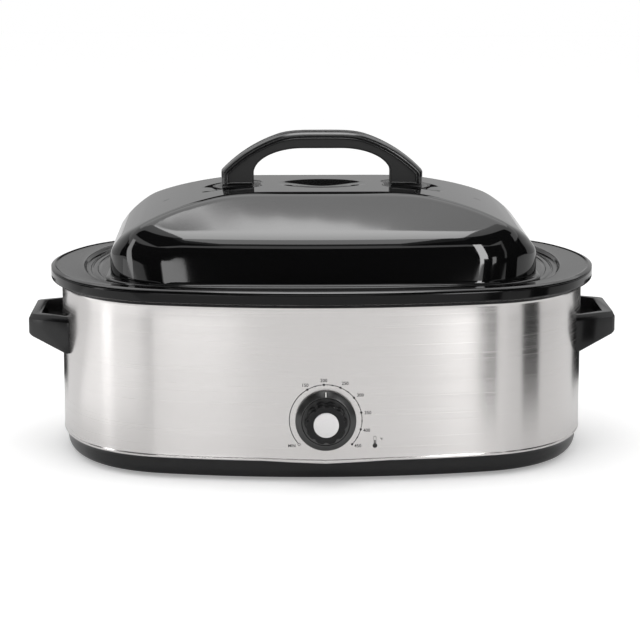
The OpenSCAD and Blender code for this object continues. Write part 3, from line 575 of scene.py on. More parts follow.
class RoasterColours(bpy.types.PropertyGroup):
    """Colours that a user would change."""

    steel: bpy.props.FloatVectorProperty(
        name="Steel",
        description="Brushed stainless steel",
        subtype="COLOR", size=3, default=(0.72, 0.7, 0.69),
    )
    enamel: bpy.props.FloatVectorProperty(
        name="Enamel",
        description="Black enamel of lid, pan and collar",
        subtype="COLOR", size=3, default=(0.004, 0.004, 0.0042),
    )
    base: bpy.props.FloatVectorProperty(
        name="Base",
        description="Black enamel of the base",
        subtype="COLOR", size=3, default=(0.008, 0.008, 0.0085),
    )
    plastic: bpy.props.FloatVectorProperty(
        name="Plastic",
        description="Black plastic of the grips and the knob",
        subtype="COLOR", size=3, default=(0.006, 0.006, 0.0063),
    )
    web: bpy.props.FloatVectorProperty(
        name="Web",
        description="Matt black face of the lid handle",
        subtype="COLOR", size=3, default=(0.034, 0.034, 0.034),
    )
    silver: bpy.props.FloatVectorProperty(
        name="Disc",
        description="Silver disc in the knob",
        subtype="COLOR", size=3, default=(0.8, 0.79, 0.79),
    )
    ring: bpy.props.FloatVectorProperty(
        name="Ring",
        description="Dark satin bevel round the knob",
        subtype="COLOR", size=3, default=(0.006, 0.006, 0.006),
    )
    dial_print: bpy.props.FloatVectorProperty(
        name="Print",
        description="Grey print of the dial",
        subtype="COLOR", size=3, default=(0.014, 0.013, 0.013),
    )


# ---------------------------------------------------------------- body


# half width of the shallow V in the band's lower edge, and the height over which it fades
DIP_HALF = 62.0
DIP_FADE = 6.0


def dip(ring):
    """Lowers a ring's points under the shallow V at the middle of the front."""
    drop = bpy.context.scene.roaster_sizes.vee_drop
    for p in ring:
        if p[1] < 0 and p[2] < BAND_Z + DIP_FADE:
            share = max(0.0, 1.0 - abs(p[0]) / DIP_HALF)
            fade = min(1.0, max(0.0, (BAND_Z + DIP_FADE - p[2]) / DIP_FADE))
            p[2] -= drop * share * fade


class ROASTER_OT_band(bpy.types.Operator):
    """Make the brushed steel band with its hem"""

    bl_idname = "roaster.band"
    bl_label = "Steel band"

    def execute(self, context):
        z = BAND_Z
        collar = COLLAR_Z
        top = collar + 2.5
        wall = 0.8
        hem = rounded(
            [
                (-wall, z + 4), (-wall, z + 0.4), (-0.3, z - 0.25), (0.42, z + 0.2),
                (0.42, z + 1.9), (0.0, z + 2.9), (0.0, z + 6),
            ],
            0.35, 3,
        )
        side = [(0.0, z + h) for h in (20, 50, 80, 110, 135)]
        flare = [
            (0.0, collar - 2.6), (0.08, collar - 1.9), (0.35, collar - 1.1), (0.75, collar - 0.3),
            (0.9, collar + 0.2), (0.5, top), (-wall, top), (-wall, z + 40),
        ]
        profile = hem + side + flare
        piece = belt_piece("steel_band", BODY, profile, "steel", (16, 36, 48), 40.0, dip)
        dress(piece, "body", "steel_band", "outer_band")
        return {"FINISHED"}


class ROASTER_OT_base(bpy.types.Operator):
    """Make the black base"""

    bl_idname = "roaster.base"
    bl_label = "Base"

    def execute(self, context):
        z = BASE_Z
        top = BAND_Z
        outer = rounded(
            [
                (-1.1, top + 6), (-1.1, top - 0.2), (-2.1, top - 1.3, 0.6), (-2.9, top - 3.4, 1.4),
                (-3.5, z + 8.0, 3.0), (-4.9, z + 3.8, 2.0), (-7.0, z + 1.3, 1.6),
                (-9.0, z + 0.9, 0.5), (-10.0, z, 0.5), (-14.0, z, 0.5), (-62.0, z),
            ],
            1.0, 4,
        )
        inner = [(-62.0, z + 2), (-11.0, z + 2), (-6.2, z + 8.5), (-4.6, top - 1), (-3.1, top + 6)]
        piece = belt_piece("black_base", BODY, outer + inner, "base_enamel", sharp=40.0)
        dress(piece, "body", "base_enamel", "base_tray")
        return {"FINISHED"}


class ROASTER_OT_collar(bpy.types.Operator):
    """Make the black collar under the pan's flange"""

    bl_idname = "roaster.collar"
    bl_label = "Collar"

    def execute(self, context):
        low = COLLAR_Z
        top = FLANGE_Z
        reach = collar_high.x - band_high.x
        turn = low + 5.4
        profile = rounded(
            [
                (-1.0, low + 3.0), (0.3, low + 0.2, 0.1), (1.6, low, 0.4), (2.5, low + 0.9, 0.5),
                (2.9, low + 2.4, 0.5), (reach - 1.0, turn - 0.9, 1.2), (reach, turn + 0.3, 1.0),
                (reach + 0.1, top - 1.4, 1.0), (reach - 0.9, top, 0.8), (reach - 6, top),
                (-1.0, top), (-1.0, low + 3.6),
            ],
            0.6, 4,
        )
        piece = belt_piece("black_collar", BODY, profile, "collar_enamel", sharp=40.0)
        dress(piece, "body", "collar_enamel", "rim_collar")
        return {"FINISHED"}


PAN_WALL = 1.2
PAN_CORNER = 16.0
PAN_LEAN = 12.0
PAN_DEPTH = 145.0


def well_lean(z):
    """How far the pan's wall has leaned in at a height."""
    return -PAN_LEAN * (LEDGE_TOP - z) / (PAN_DEPTH - PAN_CORNER)


class ROASTER_OT_pan(bpy.types.Operator):
    """Make the lift-out roasting pan, with its rolled flange and stepped ledge"""

    bl_idname = "roaster.pan"
    bl_label = "Roasting pan"

    def execute(self, context):
        parts = (14, 34, 30)
        wall, corner, top, ledge = PAN_WALL, PAN_CORNER, FLANGE_TOP, LEDGE_TOP
        floor = pan_low.z + wall
        turn = floor + corner
        lean = well_lean(turn)
        edge = collar_high.x - band_high.x - 0.6
        seat = FLANGE_Z + 0.3
        rings = []

        def add(oval, *places):
            rings.extend(oval.ring(off, z, parts) for off, z in places)

        for t in np.linspace(0, 1, 9):
            a = t * math.pi / 2
            inset = corner * (1 - math.sin(a))
            add(WELL, (wall + lean - inset, floor - wall + (corner + wall) * (1 - math.cos(a))))
        add(WELL, *((wall + well_lean(z), z) for z in (floor + 60, floor + 110, ledge - 4)))
        add(WELL, (wall + 1.6, ledge - wall))
        add(LEDGE, (-0.6, ledge - wall), (1.5, top - wall))
        lip = [
            (edge - 3.4, top - wall), (edge - 2.2, top - wall - 0.1), (edge - 1.7, seat + 0.2),
            (edge - 1.0, seat), (edge - 0.2, seat + 0.15), (edge + 0.45, seat + 0.2),
            (edge + 0.6, seat + 0.4), (edge + 0.35, seat + 0.65), (edge - 2.5, top + 0.6),
            (edge - 3.0, top + 0.72), (edge - 3.7, top + 0.5), (edge - 4.6, top + 0.05),
            (edge - 6, top),
        ]
        add(BODY, *lip)
        steps = rounded(
            [
                (9.0, top), (2.6, top, 0.8), (1.6, top + 0.35, 0.6), (0.7, top - 0.3, 0.7),
                (-0.8, ledge + 0.5, 0.8), (-2.4, ledge + 0.05, 0.8), (-5.6, ledge, 0.3),
                (-6.1, ledge - 0.7, 0.3), (-7.2, ledge - 0.6, 0.3), (-8.4, ledge, 0.4),
                (-10.6, ledge, 0.4), (-12.4, ledge, 0.4), (-13.0, ledge - 0.55, 0.3),
                (-14.4, ledge - 0.5, 0.3), (-16.2, ledge, 0.4), (-17.4, ledge, 0.3),
            ],
            0.5, 3,
        )
        add(LEDGE, *steps)
        add(WELL, (3.0, ledge), (1.6, ledge - 0.3), (0.7, ledge - 1.1))
        add(WELL, *((well_lean(z), z) for z in (ledge - 2.6, floor + 110, floor + 60, turn)))
        for t in np.linspace(0.88, 0, 9):
            a = t * math.pi / 2
            add(WELL, (lean - corner * (1 - math.sin(a)), floor + corner * (1 - math.cos(a))))
        points, faces = skin(rings)
        count = len(rings[0])
        strip_cap(faces, 0, count)
        strip_cap(faces, (len(rings) - 1) * count, count)
        piece = make_piece("enamel_pan", points, faces, "pan_enamel", 38.0)
        dress(piece, "pan", "pan_enamel", "roasting_pan")
        return {"FINISHED"}


# the photograph's handles stand out from the steel by this share of the frame's
HANDLE_REACH = 0.88


class ROASTER_OT_side_handles(bpy.types.Operator):
    """Make the two side handles, with rounded edges"""

    bl_idname = "roaster.side_handles"
    bl_label = "Side handles"

    def execute(self, context):
        for side in ("left", "right"):
            node = "side_handle_" + side
            piece = copy_bevelled(side + "_grip", node, "glossy_plastic")
            root = band_high.x * MM
            for vertex in piece.data.vertices:
                reach = abs(vertex.co.x) - root
                if reach > 0:
                    vertex.co.x = math.copysign(root + reach * HANDLE_REACH, vertex.co.x)
            dress(piece, "body", "handle_plastic", node)
        return {"FINISHED"}


# ---------------------------------------------------------------- lid

HALF_LEN = (lid_high.x - lid_low.x) / 2
HALF_DEPTH = (lid_high.y - lid_low.y) / 2
LID_Z = lid_low.z
LID_TOP = LID_Z + 83.0
LID_WALL = 1.4
# the ends rise in an arch that is cut off by the flat top
ARCH_Z = LID_Z + 22.0
ARCH_RISE = 66.5
ARCH_POWER = 2.05
ARCH_SOFT = 3.5
# the wall's foot, its lean, and the crease where it turns into the slope
ROOT_X = HALF_LEN - 4.6
ROOT_Y = HALF_DEPTH - 5.0
FOOT_Z = LID_Z + 5.2
WALL_TAPER = 5.5
CREASE_Z = LID_Z + 46.0
CREASE_Y = ROOT_Y - WALL_TAPER
CREASE_CORNER = 61.0
WALL_STEPS = 24
# the roof's rings lie closer together up to the first inset and between the other two
FINE_STEP, COARSE_STEP = 1.7, 3.0
FINE_TO, FINE_FROM, FINE_END = 78, 118, 136
# half depth of the flat top, and the slope's height at its edge
PLATEAU_HALF = 74.0
SLOPE_TOP = LID_TOP - 2
# front and back bow out at the middle
LID_BOW = 8.0
LIP_CORNER = 71.0
BOW_X = HALF_LEN - LIP_CORNER
# the roof, from this height up, takes the seats of the handle's feet and the finger dimple
ROOF_FROM = LID_Z + 50
LEG_X = grip_high.x - 16.3
SEAT_Z = foot_low.z
# a seat's reach outwards, inwards and to both sides, and the run of its slopes there
SEAT_OUT, SEAT_IN, SEAT_SIDE = 15.5, 15.0, 13.5
RUN_OUT, RUN_IN, RUN_SIDE = 24.0, 9.0, 13.0
DIMPLE_X, DIMPLE_Y = 47.0, 34.0
# the steam vents: place, half length of their straight part, and radius of their ends
VENT_X, VENT_HALF, VENT_R = 157.8, 2.6, 0.85
LIP = (
    (-2.6, 0.5), (-1.9, 0.1), (-1.2, 0.0), (-0.5, 0.25), (-0.1, 0.8), (0.0, 1.5),
    (-0.15, 2.3), (-0.7, 3.0), (-1.6, 3.4), (-2.7, 3.5), (-3.7, 3.7), (-4.5, 4.3),
)


def arch_at(x):
    """Height of the end arch at a distance from the middle."""
    share = np.minimum(np.abs(x) / ROOT_X, 1) ** ARCH_POWER
    return lower_of(ARCH_Z + ARCH_RISE * np.sqrt(np.maximum(0.0, 1 - share)), LID_TOP, ARCH_SOFT)


def arch_half(z):
    """Half length of the end arch at a height."""
    return ROOT_X * (1 - max(0.0, (z - ARCH_Z) / ARCH_RISE) ** 2) ** (1 / ARCH_POWER)


def slope_at(y):
    """Height of the front and the back slope."""
    fall = (SLOPE_TOP - CREASE_Z) / (CREASE_Y - PLATEAU_HALF)
    return SLOPE_TOP - (np.abs(y) - PLATEAU_HALF) * fall


def lower_of(a, b, soft):
    """The lower of two heights, with the crease between them rounded."""
    h = np.clip(0.5 + (b - a) / (2 * soft), 0, 1)
    return b * (1 - h) + a * h - soft * h * (1 - h)


def ease(t):
    """A smooth step from 0 to 1."""
    t = np.clip(t, 0, 1)
    return t * t * (3 - 2 * t)


def corner_ring(half_x, half_y, radius, parts=(28, 26, 54)):
    """A ring round a rectangle with round corners."""
    along = [(half_x, (half_y - radius) * i / parts[0]) for i in range(parts[0])]
    turn = [
        (
            half_x - radius + radius * math.cos(math.pi / 2 * i / parts[1]),
            half_y - radius + radius * math.sin(math.pi / 2 * i / parts[1]),
        )
        for i in range(parts[1])
    ]
    across = [((half_x - radius) * (1 - i / parts[2]), half_y) for i in range(parts[2] + 1)]
    return mirrored_ring(along + turn + across)


def lid_roof(plan, soft):
    """Height of the lid's roof over plan points."""
    return lower_of(arch_at(plan[:, 0]), slope_at(plan[:, 1]), soft)


def bow_lid(points):
    """Bows the front and the back of the lid out, and leaves its flat top as it is."""
    x, y = np.abs(points[:, 0]), points[:, 1]
    share = np.where(x < BOW_X, (x / BOW_X) ** 2, 2 * x / BOW_X - 1)
    reach = np.maximum(0.0, np.abs(y) - PLATEAU_HALF) / (HALF_DEPTH - PLATEAU_HALF)
    points[:, 1] = y - np.sign(y) * LID_BOW * share * reach


def lid_marks(points, depth):
    """Presses the seats of the handle's feet and the finger dimple into the roof."""
    x, y, z = points[:, 0], points[:, 1], points[:, 2]
    high = z > ROOF_FROM
    for side in (-1, 1):
        out = side * (x - side * LEG_X)
        outwards = np.maximum(out - SEAT_OUT, 0) / RUN_OUT
        along = np.where(out > 0, outwards, np.maximum(-out - SEAT_IN, 0) / RUN_IN)
        across = np.maximum(np.abs(y) - SEAT_SIDE, 0) / RUN_SIDE
        share = 1 - ease(np.hypot(along, across))
        z = np.where(high, z * (1 - share) + np.minimum(z, SEAT_Z) * share, z)
    inner = np.hypot(x / DIMPLE_X, y / DIMPLE_Y)
    z = np.where(high, z - depth * (1 - ease(inner)), z)
    points[:, 2] = z


class ROASTER_OT_lid(bpy.types.Operator):
    """Make the domed lid: rolled lip, front wall, slopes, plateau, seats, dimple and vents"""

    bl_idname = "roaster.lid"
    bl_label = "Lid"

    def execute(self, context):
        sizes = context.scene.roaster_sizes
        soft = sizes.crease_soft
        crease_x = arch_half(CREASE_Z)
        crown = lid_roof(corner_ring(crease_x, CREASE_Y, CREASE_CORNER), soft)
        rings = []
        for off, up in LIP:
            plan = corner_ring(HALF_LEN + off, HALF_DEPTH + off, LIP_CORNER + off * 0.6)
            rings.append(lifted(plan, LID_Z + up))
        for k in range(WALL_STEPS):
            f = k / WALL_STEPS
            half = arch_half(FOOT_Z + f * (CREASE_Z - FOOT_Z))
            plan = corner_ring(half, ROOT_Y - WALL_TAPER * f, CREASE_CORNER + 5.0 * (1 - f))
            rings.append(np.column_stack((plan, FOOT_Z + f * (crown - FOOT_Z))))
        crease_index = len(rings)
        inset = 0.0
        while inset < CREASE_Y - 4:
            plan = corner_ring(crease_x - inset, CREASE_Y - inset, max(CREASE_CORNER - inset, 2.5))
            rings.append(np.column_stack((plan, lid_roof(plan, soft))))
            fine = inset < FINE_TO or FINE_FROM < inset < FINE_END
            inset += FINE_STEP if fine else COARSE_STEP
        stack = np.array(rings)
        smooth = stack.copy()
        reach = int(round(sizes.shoulder_soft * 1.6))
        weights = np.exp(-0.5 * (np.arange(-reach, reach + 1) / (sizes.shoulder_soft * 0.62)) ** 2)
        weights /= weights.sum()
        for k in range(crease_index - reach, crease_index + reach):
            window = stack[k - reach : k + reach + 1]
            near = 1 - ease(np.array([(abs(k - crease_index) - reach * 0.55) / (reach * 0.45)]))[0]
            blurred = np.tensordot(weights, window, axes=(0, 0))
            smooth[k] = stack[k] * (1 - near) + blurred * near
        points, faces = skin(list(smooth))
        strip_cap(faces, (len(rings) - 1) * len(rings[0]), len(rings[0]))
        lid_marks(points, sizes.dimple_depth)
        bow_lid(points)
        piece = make_piece("enamel_lid", points, faces, "lid_enamel", 60.0)
        polygons = piece.data.polygons
        sample = polygons[len(polygons) // 3]
        if Vector(sample.normal).dot(Vector(sample.center) - Vector((0, 0, LID_Z * MM))) < 0:
            piece.data.flip_normals()
        wall = piece.modifiers.new("wall", "SOLIDIFY")
        wall.thickness = LID_WALL * MM
        wall.offset = -1.0
        settled(piece, 60.0)
        cut_vents(piece)
        dress(piece, "lid", "lid_enamel", "lid_shell")
        return {"FINISHED"}


def cut_vents(piece):
    """Cuts a steam vent near each end of the lid."""
    cutters = []
    for side in (-1, 1):
        x = side * VENT_X
        z = float(arch_at(np.array([x]))[0])
        outline = []
        for centre, start in ((VENT_HALF, -90), (-VENT_HALF, 90)):
            for i in range(9):
                a = math.radians(start + 22.5 * i)
                outline.append((x + centre + VENT_R * math.cos(a), VENT_R * math.sin(a)))
        rings = [lifted(np.array(outline), z + h) for h in (-9, 9)]
        cutters.append(make_piece("vent_cutter", *plugged(rings), "lid_enamel"))
    for cutter in cutters:
        cut = piece.modifiers.new("vent", "BOOLEAN")
        cut.operation = "DIFFERENCE"
        cut.solver = "EXACT"
        cut.object = cutter
    settled(piece, 60.0)
    for cutter in cutters:
        bpy.data.objects.remove(cutter)


# ---------------------------------------------------------------- lid handle

HANDLE_LOW = grip_low.z
HANDLE_TOP = grip_high.z
HANDLE_HALF = grip_high.x
HANDLE_ARCH = 140.0
HANDLE_FLAT = 3.5
CROWN_SOFT = 3.6
LEG_WIDTH = 32.6
GRIP = 16.5
# the finger opening's flat part and its arch, as shares of its half width and its height
OPENING_FLAT = 0.28
OPENING_RISE = 0.7
# the border's section, from the middle of its edge to the web: inset and half thickness, on a
# handle 30 thick
RIM_SECTION = (
    (0.0, 9.0), (0.15, 10.5), (0.6, 12.0), (1.35, 13.3), (2.3, 14.2), (3.2, 14.65),
    (3.9, 14.75), (4.25, 14.45), (4.55, 13.9), (4.95, 13.8), (5.3, 14.1), (5.55, 14.65),
    (5.95, 15.0), (6.4, 15.0), (6.8, 14.65), (7.0, 14.0), (7.1, 13.2),
)
RIM_HALF = 15.0
WEB_HALF = 13.2
WEB_SOFT = 2.2


def handle_outline(inset, count=46):
    """The handle's outer outline, drawn in by inset, from one foot over the arch to the other."""
    radius = HANDLE_ARCH - inset
    centre = HANDLE_TOP + HANDLE_FLAT - HANDLE_ARCH
    half = HANDLE_HALF - inset
    stop = math.asin(min(1.0, half / radius))
    side = [(half, HANDLE_LOW), (half, (HANDLE_LOW + centre + radius * math.cos(stop)) / 2)]
    for i in range(count, 0, -1):
        a = stop * i / count
        z = lower_of(centre + radius * math.cos(a), HANDLE_TOP - inset, CROWN_SOFT)
        side.append((radius * math.sin(a), float(z)))
    crown = (0.0, side[-1][1])
    return side + [crown] + [(-x, z) for x, z in reversed(side)]


def handle_opening(grow, count=28):
    """The finger opening, from foot to foot, grown by grow."""
    half = HANDLE_HALF - LEG_WIDTH
    top = HANDLE_TOP - GRIP
    flat = half * OPENING_FLAT
    rise = (top - HANDLE_LOW) * OPENING_RISE
    side = [(half + grow, HANDLE_LOW), (half + grow, (HANDLE_LOW + top - rise) / 2)]
    for i in range(count + 1):
        a = math.pi / 2 * i / count
        x = flat + (half + grow - flat) * math.cos(a)
        side.append((x, top - rise + (rise + grow) * math.sin(a)))
    return side + [(-x, z) for x, z in reversed(side)]


class ROASTER_OT_lid_handle(bpy.types.Operator):
    """Make the arched lid handle: a rounded rim with a groove and a ridge, and a sunk matt web"""

    bl_idname = "roaster.lid_handle"
    bl_label = "Lid handle"

    def execute(self, context):
        self.rim()
        self.web()
        self.feet()
        return {"FINISHED"}

    def rim(self):
        scale = grip_high.y / RIM_HALF
        profile = [(inset, -y * scale) for inset, y in RIM_SECTION]
        profile += [(inset, -y) for inset, y in reversed(profile)]
        outlines = {inset: handle_outline(inset) for inset, _ in RIM_SECTION}
        steps = len(outlines[0.0])
        rings = []
        for i in range(steps):
            places = [(outlines[inset][i], y) for inset, y in profile]
            rings.append([(x, y, z) for (x, z), y in places])
        points, faces = plugged([np.array(r) for r in rings])
        piece = make_piece("handle_rim", points, faces, "satin_plastic", 50.0)
        dress(piece, "lid", "grip_plastic", "lid_handle")

    def web(self):
        outer = handle_outline(6.0)
        loops = []
        for t in (0.0, 0.25, 0.5, 0.75, 1.0):
            a = t * math.pi / 2
            loops.append((WEB_SOFT * (1 - math.sin(a)), -WEB_HALF + WEB_SOFT * (1 - math.cos(a))))
        loops += [(grow, -y) for grow, y in reversed(loops)]
        rings = []
        for grow, y in loops:
            loop = outer + handle_opening(grow)[::-1]
            rings.append(np.array([(x, y, z) for x, z in loop]))
        points, faces = skin(rings)
        count = len(rings[0])
        half = len(outer)
        other = count - half
        for first, turn in ((0, False), ((len(rings) - 1) * count, True)):
            faces.extend(bridge(first, half, other, count, turn))
        piece = make_piece("handle_web", points, faces, "matt_plastic", 40.0)
        dress(piece, "lid", "grip_plastic")
        for side, end in ((-1, "left"), (1, "right")):
            for face, wall in ((-1, "front"), (1, "back")):
                x = side * (HANDLE_HALF - LEG_WIDTH / 2 - 2.6)
                centre = (x, face * (WEB_HALF + 0.2), HANDLE_LOW + 1.1)
                bar = rounded_bar(centre, (LEG_WIDTH / 2 - 3.4, 1.5, 1.1), 0.8)
                name = "handle_ledge_%s_%s" % (end, wall)
                bead = make_piece(name, *bar, "satin_plastic", 50.0)
                dress(bead, "lid", "grip_plastic")

    def feet(self):
        low, high = foot_low, foot_high
        for side, name, nodes in ((-1, "left", []), (1, "right", ["lid_handle_feet"])):
            centre = (side * LEG_X, 0.0, (low.z + high.z) / 2)
            half = (LEG_WIDTH / 2 - 0.8, high.y, (high.z - low.z) / 2)
            bar = rounded_bar(centre, half, 1.0)
            piece = make_piece(name + "_handle_foot", *bar, "glossy_plastic", 50.0)
            dress(piece, "lid", "grip_plastic", *nodes)


def bridge(first, half, other, count, turn):
    """Faces between the outer outline and the opening of one side of the web."""
    faces = []
    i, j = 0, 0
    while i < half - 1 or j < other - 1:
        a, b = first + i, first + count - 1 - j
        if j >= other - 1 or (i < half - 1 and (i + 1) / (half - 1) <= (j + 1) / (other - 1)):
            faces.append((a, first + i + 1, b) if turn else (b, first + i + 1, a))
            i += 1
        else:
            c = first + count - 2 - j
            faces.append((a, c, b) if turn else (b, c, a))
            j += 1
    return faces


def rounded_bar(centre, half, radius, steps=3):
    """Points and faces of a block with rounded edges and corners."""
    rings = []
    levels = []
    for k in range(steps + 1):
        a = math.pi / 2 * k / steps
        levels.append((-half[2] + radius * (1 - math.cos(a)), radius * (1 - math.sin(a))))
    levels += [(-z, inset) for z, inset in reversed(levels)]
    for z, inset in levels:
        ring = []
        for qx, qy, start in ((1, 1, 0), (-1, 1, 90), (-1, -1, 180), (1, -1, 270)):
            for k in range(steps + 1):
                a = math.radians(start + 90 * k / steps)
                size = radius - inset + 0.02
                ring.append(
                    (
                        centre[0] + qx * (half[0] - radius) + size * math.cos(a),
                        centre[1] + qy * (half[1] - radius) + size * math.sin(a),
                        centre[2] + z,
                    )
                )
        rings.append(np.array(ring))
    return plugged(rings, -1)


# ---------------------------------------------------------------- knob and dial

LOBES = 10
GRIP_R = 20.5
UPPER_R = GRIP_R - 1.4
HOLLOW_R = 3.4
DISC_R = 12.15
# the skirt's height, and the share of the grip above it that the lower tier takes
SKIRT_TOP = 6.0
TIER_SHARE = 0.45


def lobed(radius, count=240):
    """The knob's lobed outline, as a radius for each angle, with soft tips."""
    angles = np.arange(count) * 2 * math.pi / count + math.pi / 2
    step = 2 * math.pi / LOBES
    phase = np.mod(angles - math.pi / 2 + step / 2, step) - step / 2
    centre = radius + HOLLOW_R * 0.45
    inside = np.maximum(0.0, HOLLOW_R**2 - (centre * np.sin(phase)) ** 2)
    hollow = centre * np.cos(phase) - np.sqrt(inside)
    edge = np.where(np.abs(centre * np.sin(phase)) < HOLLOW_R, np.minimum(radius, hollow), radius)
    kernel = np.array([1, 2, 3, 2, 1], float) / 9
    padded = np.concatenate((edge[-2:], edge, edge[:2]))
    return angles, np.convolve(padded, kernel, mode="valid")


class ROASTER_OT_knob(bpy.types.Operator):
    """Make the knob: bevelled skirt, lobed grip in two tiers, silver disc and pointer"""

    bl_idname = "roaster.knob"
    bl_label = "Knob"

    def execute(self, context):
        deep = knob_high.y - knob_low.y
        skirt = knob_high.x
        profile = rounded(
            [
                (4.0, 3.4), (7.5, 3.4), (7.5, 0.4), (skirt - 5.6, 0.4), (skirt - 5.6, 5.9, 0.4),
                (skirt - 6.2, 6.3, 0.3), (skirt - 6.8, 5.6, 0.3), (GRIP_R + 1.2, 5.5),
                (GRIP_R - 2, 5.5), (4.0, 5.5),
            ],
            0.3, 3,
        )
        body = lathe("knob_skirt", profile, "knob_plastic", 144)
        dress(body, "knob", "knob_plastic")
        profile = rounded(
            [
                (12.0, 0.2), (skirt - 1.2, 0.2), (skirt - 0.8, 0.0, 0.3), (skirt, 0.7, 0.5),
                (skirt, 2.3, 0.5), (skirt - 0.6, 2.9, 0.4), (skirt - 5.1, 5.95, 0.5),
                (skirt - 5.7, 5.9), (12.0, 5.0),
            ],
            0.3, 3,
        )
        ring = lathe("knob_ring", profile, "ring", 144)
        dress(ring, "knob", "knob_plastic")
        self.grip(deep)
        low = deep - 1.4
        plate = [(0.5, low), (DISC_R, low), (DISC_R, deep + 0.1, 0.35), (0.5, deep + 0.22)]
        cap = lathe("silver_disc", rounded(plate, 0.3, 3), "silver", 96)
        dress(cap, "knob", "cap_silver", "knob_cap")
        self.pointer(skirt)
        return {"FINISHED"}

    def grip(self, deep):
        tier = SKIRT_TOP + (deep - SKIRT_TOP) * TIER_SHARE
        levels = (
            (GRIP_R, 0.0, 5.0), (GRIP_R, 0.0, tier - 0.7), (GRIP_R, 0.12, tier - 0.35),
            (GRIP_R, 0.4, tier - 0.08), (GRIP_R, 0.8, tier), (GRIP_R, 1.5, tier - 0.05),
            (UPPER_R, 0.25, tier + 0.05), (UPPER_R, 0.0, tier + 0.5), (UPPER_R, 0.0, deep - 0.8),
            (UPPER_R, 0.15, deep - 0.35), (UPPER_R, 0.45, deep - 0.08), (UPPER_R, 0.9, deep),
        )
        rings = []
        for radius, inset, z in levels:
            angles, edge = lobed(radius)
            rings.append(wheel(edge - inset, angles, z))
        for r, z in ((12.9, deep), (12.6, deep - 0.1), (12.4, deep - 0.35), (12.4, deep - 1.3)):
            rings.append(wheel(r, angles, z))
        points, faces = domed(rings)
        piece = make_piece("lobed_grip", [on_knob(p) for p in points], faces, "knob_plastic", 40.0)
        dress(piece, "knob", "knob_plastic", "knob_body")

    def pointer(self, skirt):
        lines = (
            ("pointer_line", 0.0, 0.55, "white_line", ["knob_pointer"]),
            ("pointer_edge_left", -1.25, 0.42, "dark_line", []),
            ("pointer_edge_right", 1.25, 0.42, "dark_line", []),
        )
        for name, shift, half, finish, nodes in lines:
            rings = []
            for r, z in ((skirt - 5.0, 5.85), (skirt - 0.9, 3.15)):
                left, right, low, high = shift - half, shift + half, z - 0.2, z + 0.16
                rings.append([(left, r, low), (right, r, low), (right, r, high), (left, r, high)])
            points, faces = skin([np.array(r) for r in rings])
            faces += [(0, 1, 2, 3), (7, 6, 5, 4)]
            piece = make_piece(name, [on_knob(p) for p in points], faces, finish)
            dress(piece, "knob", "pointer_white", *nodes)


def front_at(x, proud=0.0):
    """The Y of the band's front face at x, standing proud by a little."""
    return -BODY.depth_at(x, proud)


def from_lowest(corners):
    """A face's corners in the same turn, with the lowest number first."""
    first = corners.index(min(corners))
    return corners[first:] + corners[:first]


def wrap_to_front(piece, proud):
    """Wraps a flat mesh in the XZ plane on to the bowed front of the band, as a thin slab."""
    mesh = piece.data
    work = bmesh.new()
    work.from_mesh(mesh)
    bmesh.ops.remove_doubles(work, verts=work.verts, dist=1e-7)
    made = bmesh.ops.extrude_face_region(work, geom=work.faces[:])
    moved = [v for v in made["geom"] if isinstance(v, bmesh.types.BMVert)]
    inner = set(moved)
    for v in work.verts:
        x = v.co.x / MM
        v.co.y = front_at(x, proud - (PRINT_THICK if v in inner else 0.0)) * MM
    bmesh.ops.recalc_face_normals(work, faces=work.faces)
    # the extrusion leaves its faces in another order each time, so they are sorted
    work.verts.index_update()
    points = [tuple(v.co) for v in work.verts]
    faces = sorted(
        (from_lowest([v.index for v in face.verts]), face.material_index) for face in work.faces
    )
    work.free()
    mesh.clear_geometry()
    mesh.from_pydata(points, [], [corners for corners, _ in faces])
    mesh.polygons.foreach_set("material_index", [slot for _, slot in faces])
    mesh.shade_flat()


def polar(radius, angle):
    """A point on the dial at a radius and at an angle clockwise from its top, in degrees."""
    a = math.radians(angle)
    return radius * math.sin(a), KNOB_Z + radius * math.cos(a)


def arc_band(radius, width, start, stop, step=2.0):
    """Points and faces of a flat arc on the dial."""
    count = max(2, int(abs(stop - start) / step) + 1)
    points, faces = [], []
    for i in range(count):
        angle = start + (stop - start) * i / (count - 1)
        for r in (radius - width / 2, radius + width / 2):
            x, z = polar(r, angle)
            points.append((x, 0.0, z))
    for i in range(count - 1):
        faces.append((2 * i, 2 * i + 1, 2 * i + 3, 2 * i + 2))
    return points, faces


def disc(centre, outer, inner=0.0, count=20):
    """Points and faces of a flat disc or ring on the front."""
    points, faces = [], []
    for i in range(count):
        a = 2 * math.pi * i / count
        points.append((centre[0] + outer * math.cos(a), 0.0, centre[1] + outer * math.sin(a)))
    if inner <= 0:
        faces.append(tuple(range(count)))
        return points, faces
    for i in range(count):
        a = 2 * math.pi * i / count
        points.append((centre[0] + inner * math.cos(a), 0.0, centre[1] + inner * math.sin(a)))
    for i in range(count):
        j = (i + 1) % count
        faces.append((i, j, count + j, count + i))
    return points, faces


def joined(shapes):
    """Several (points, faces) pairs as one."""
    points, faces = [], []
    for more_points, more_faces in shapes:
        first = len(points)
        points.extend(more_points)
        faces.extend(tuple(first + i for i in face) for face in more_faces)
    return points, faces


# figure, its mark's angle, and the figure's centre from the dial's centre
DIAL = (
    ("150", -30.4, (-19.8, 34.3)),
    ("200", -3.0, (-1.9, 38.9)),
    ("250", 23.8, (18.5, 36.0)),
    ("300", 51.2, (33.1, 24.3)),
    ("350", 78.0, (40.5, 6.9)),
    ("400", 105.5, (39.4, -10.4)),
    ("450", 133.4, (30.9, -25.6)),
)
DIAL_START = -132.8
FIRST_SMALL_DOT = -42.8
# other print: words, their centre from the dial's centre, and their size beside a figure's
WORDS = (("MIN", (-32.6, -25.3), 0.92), ("°F", (53.6, -19.4), 0.72))
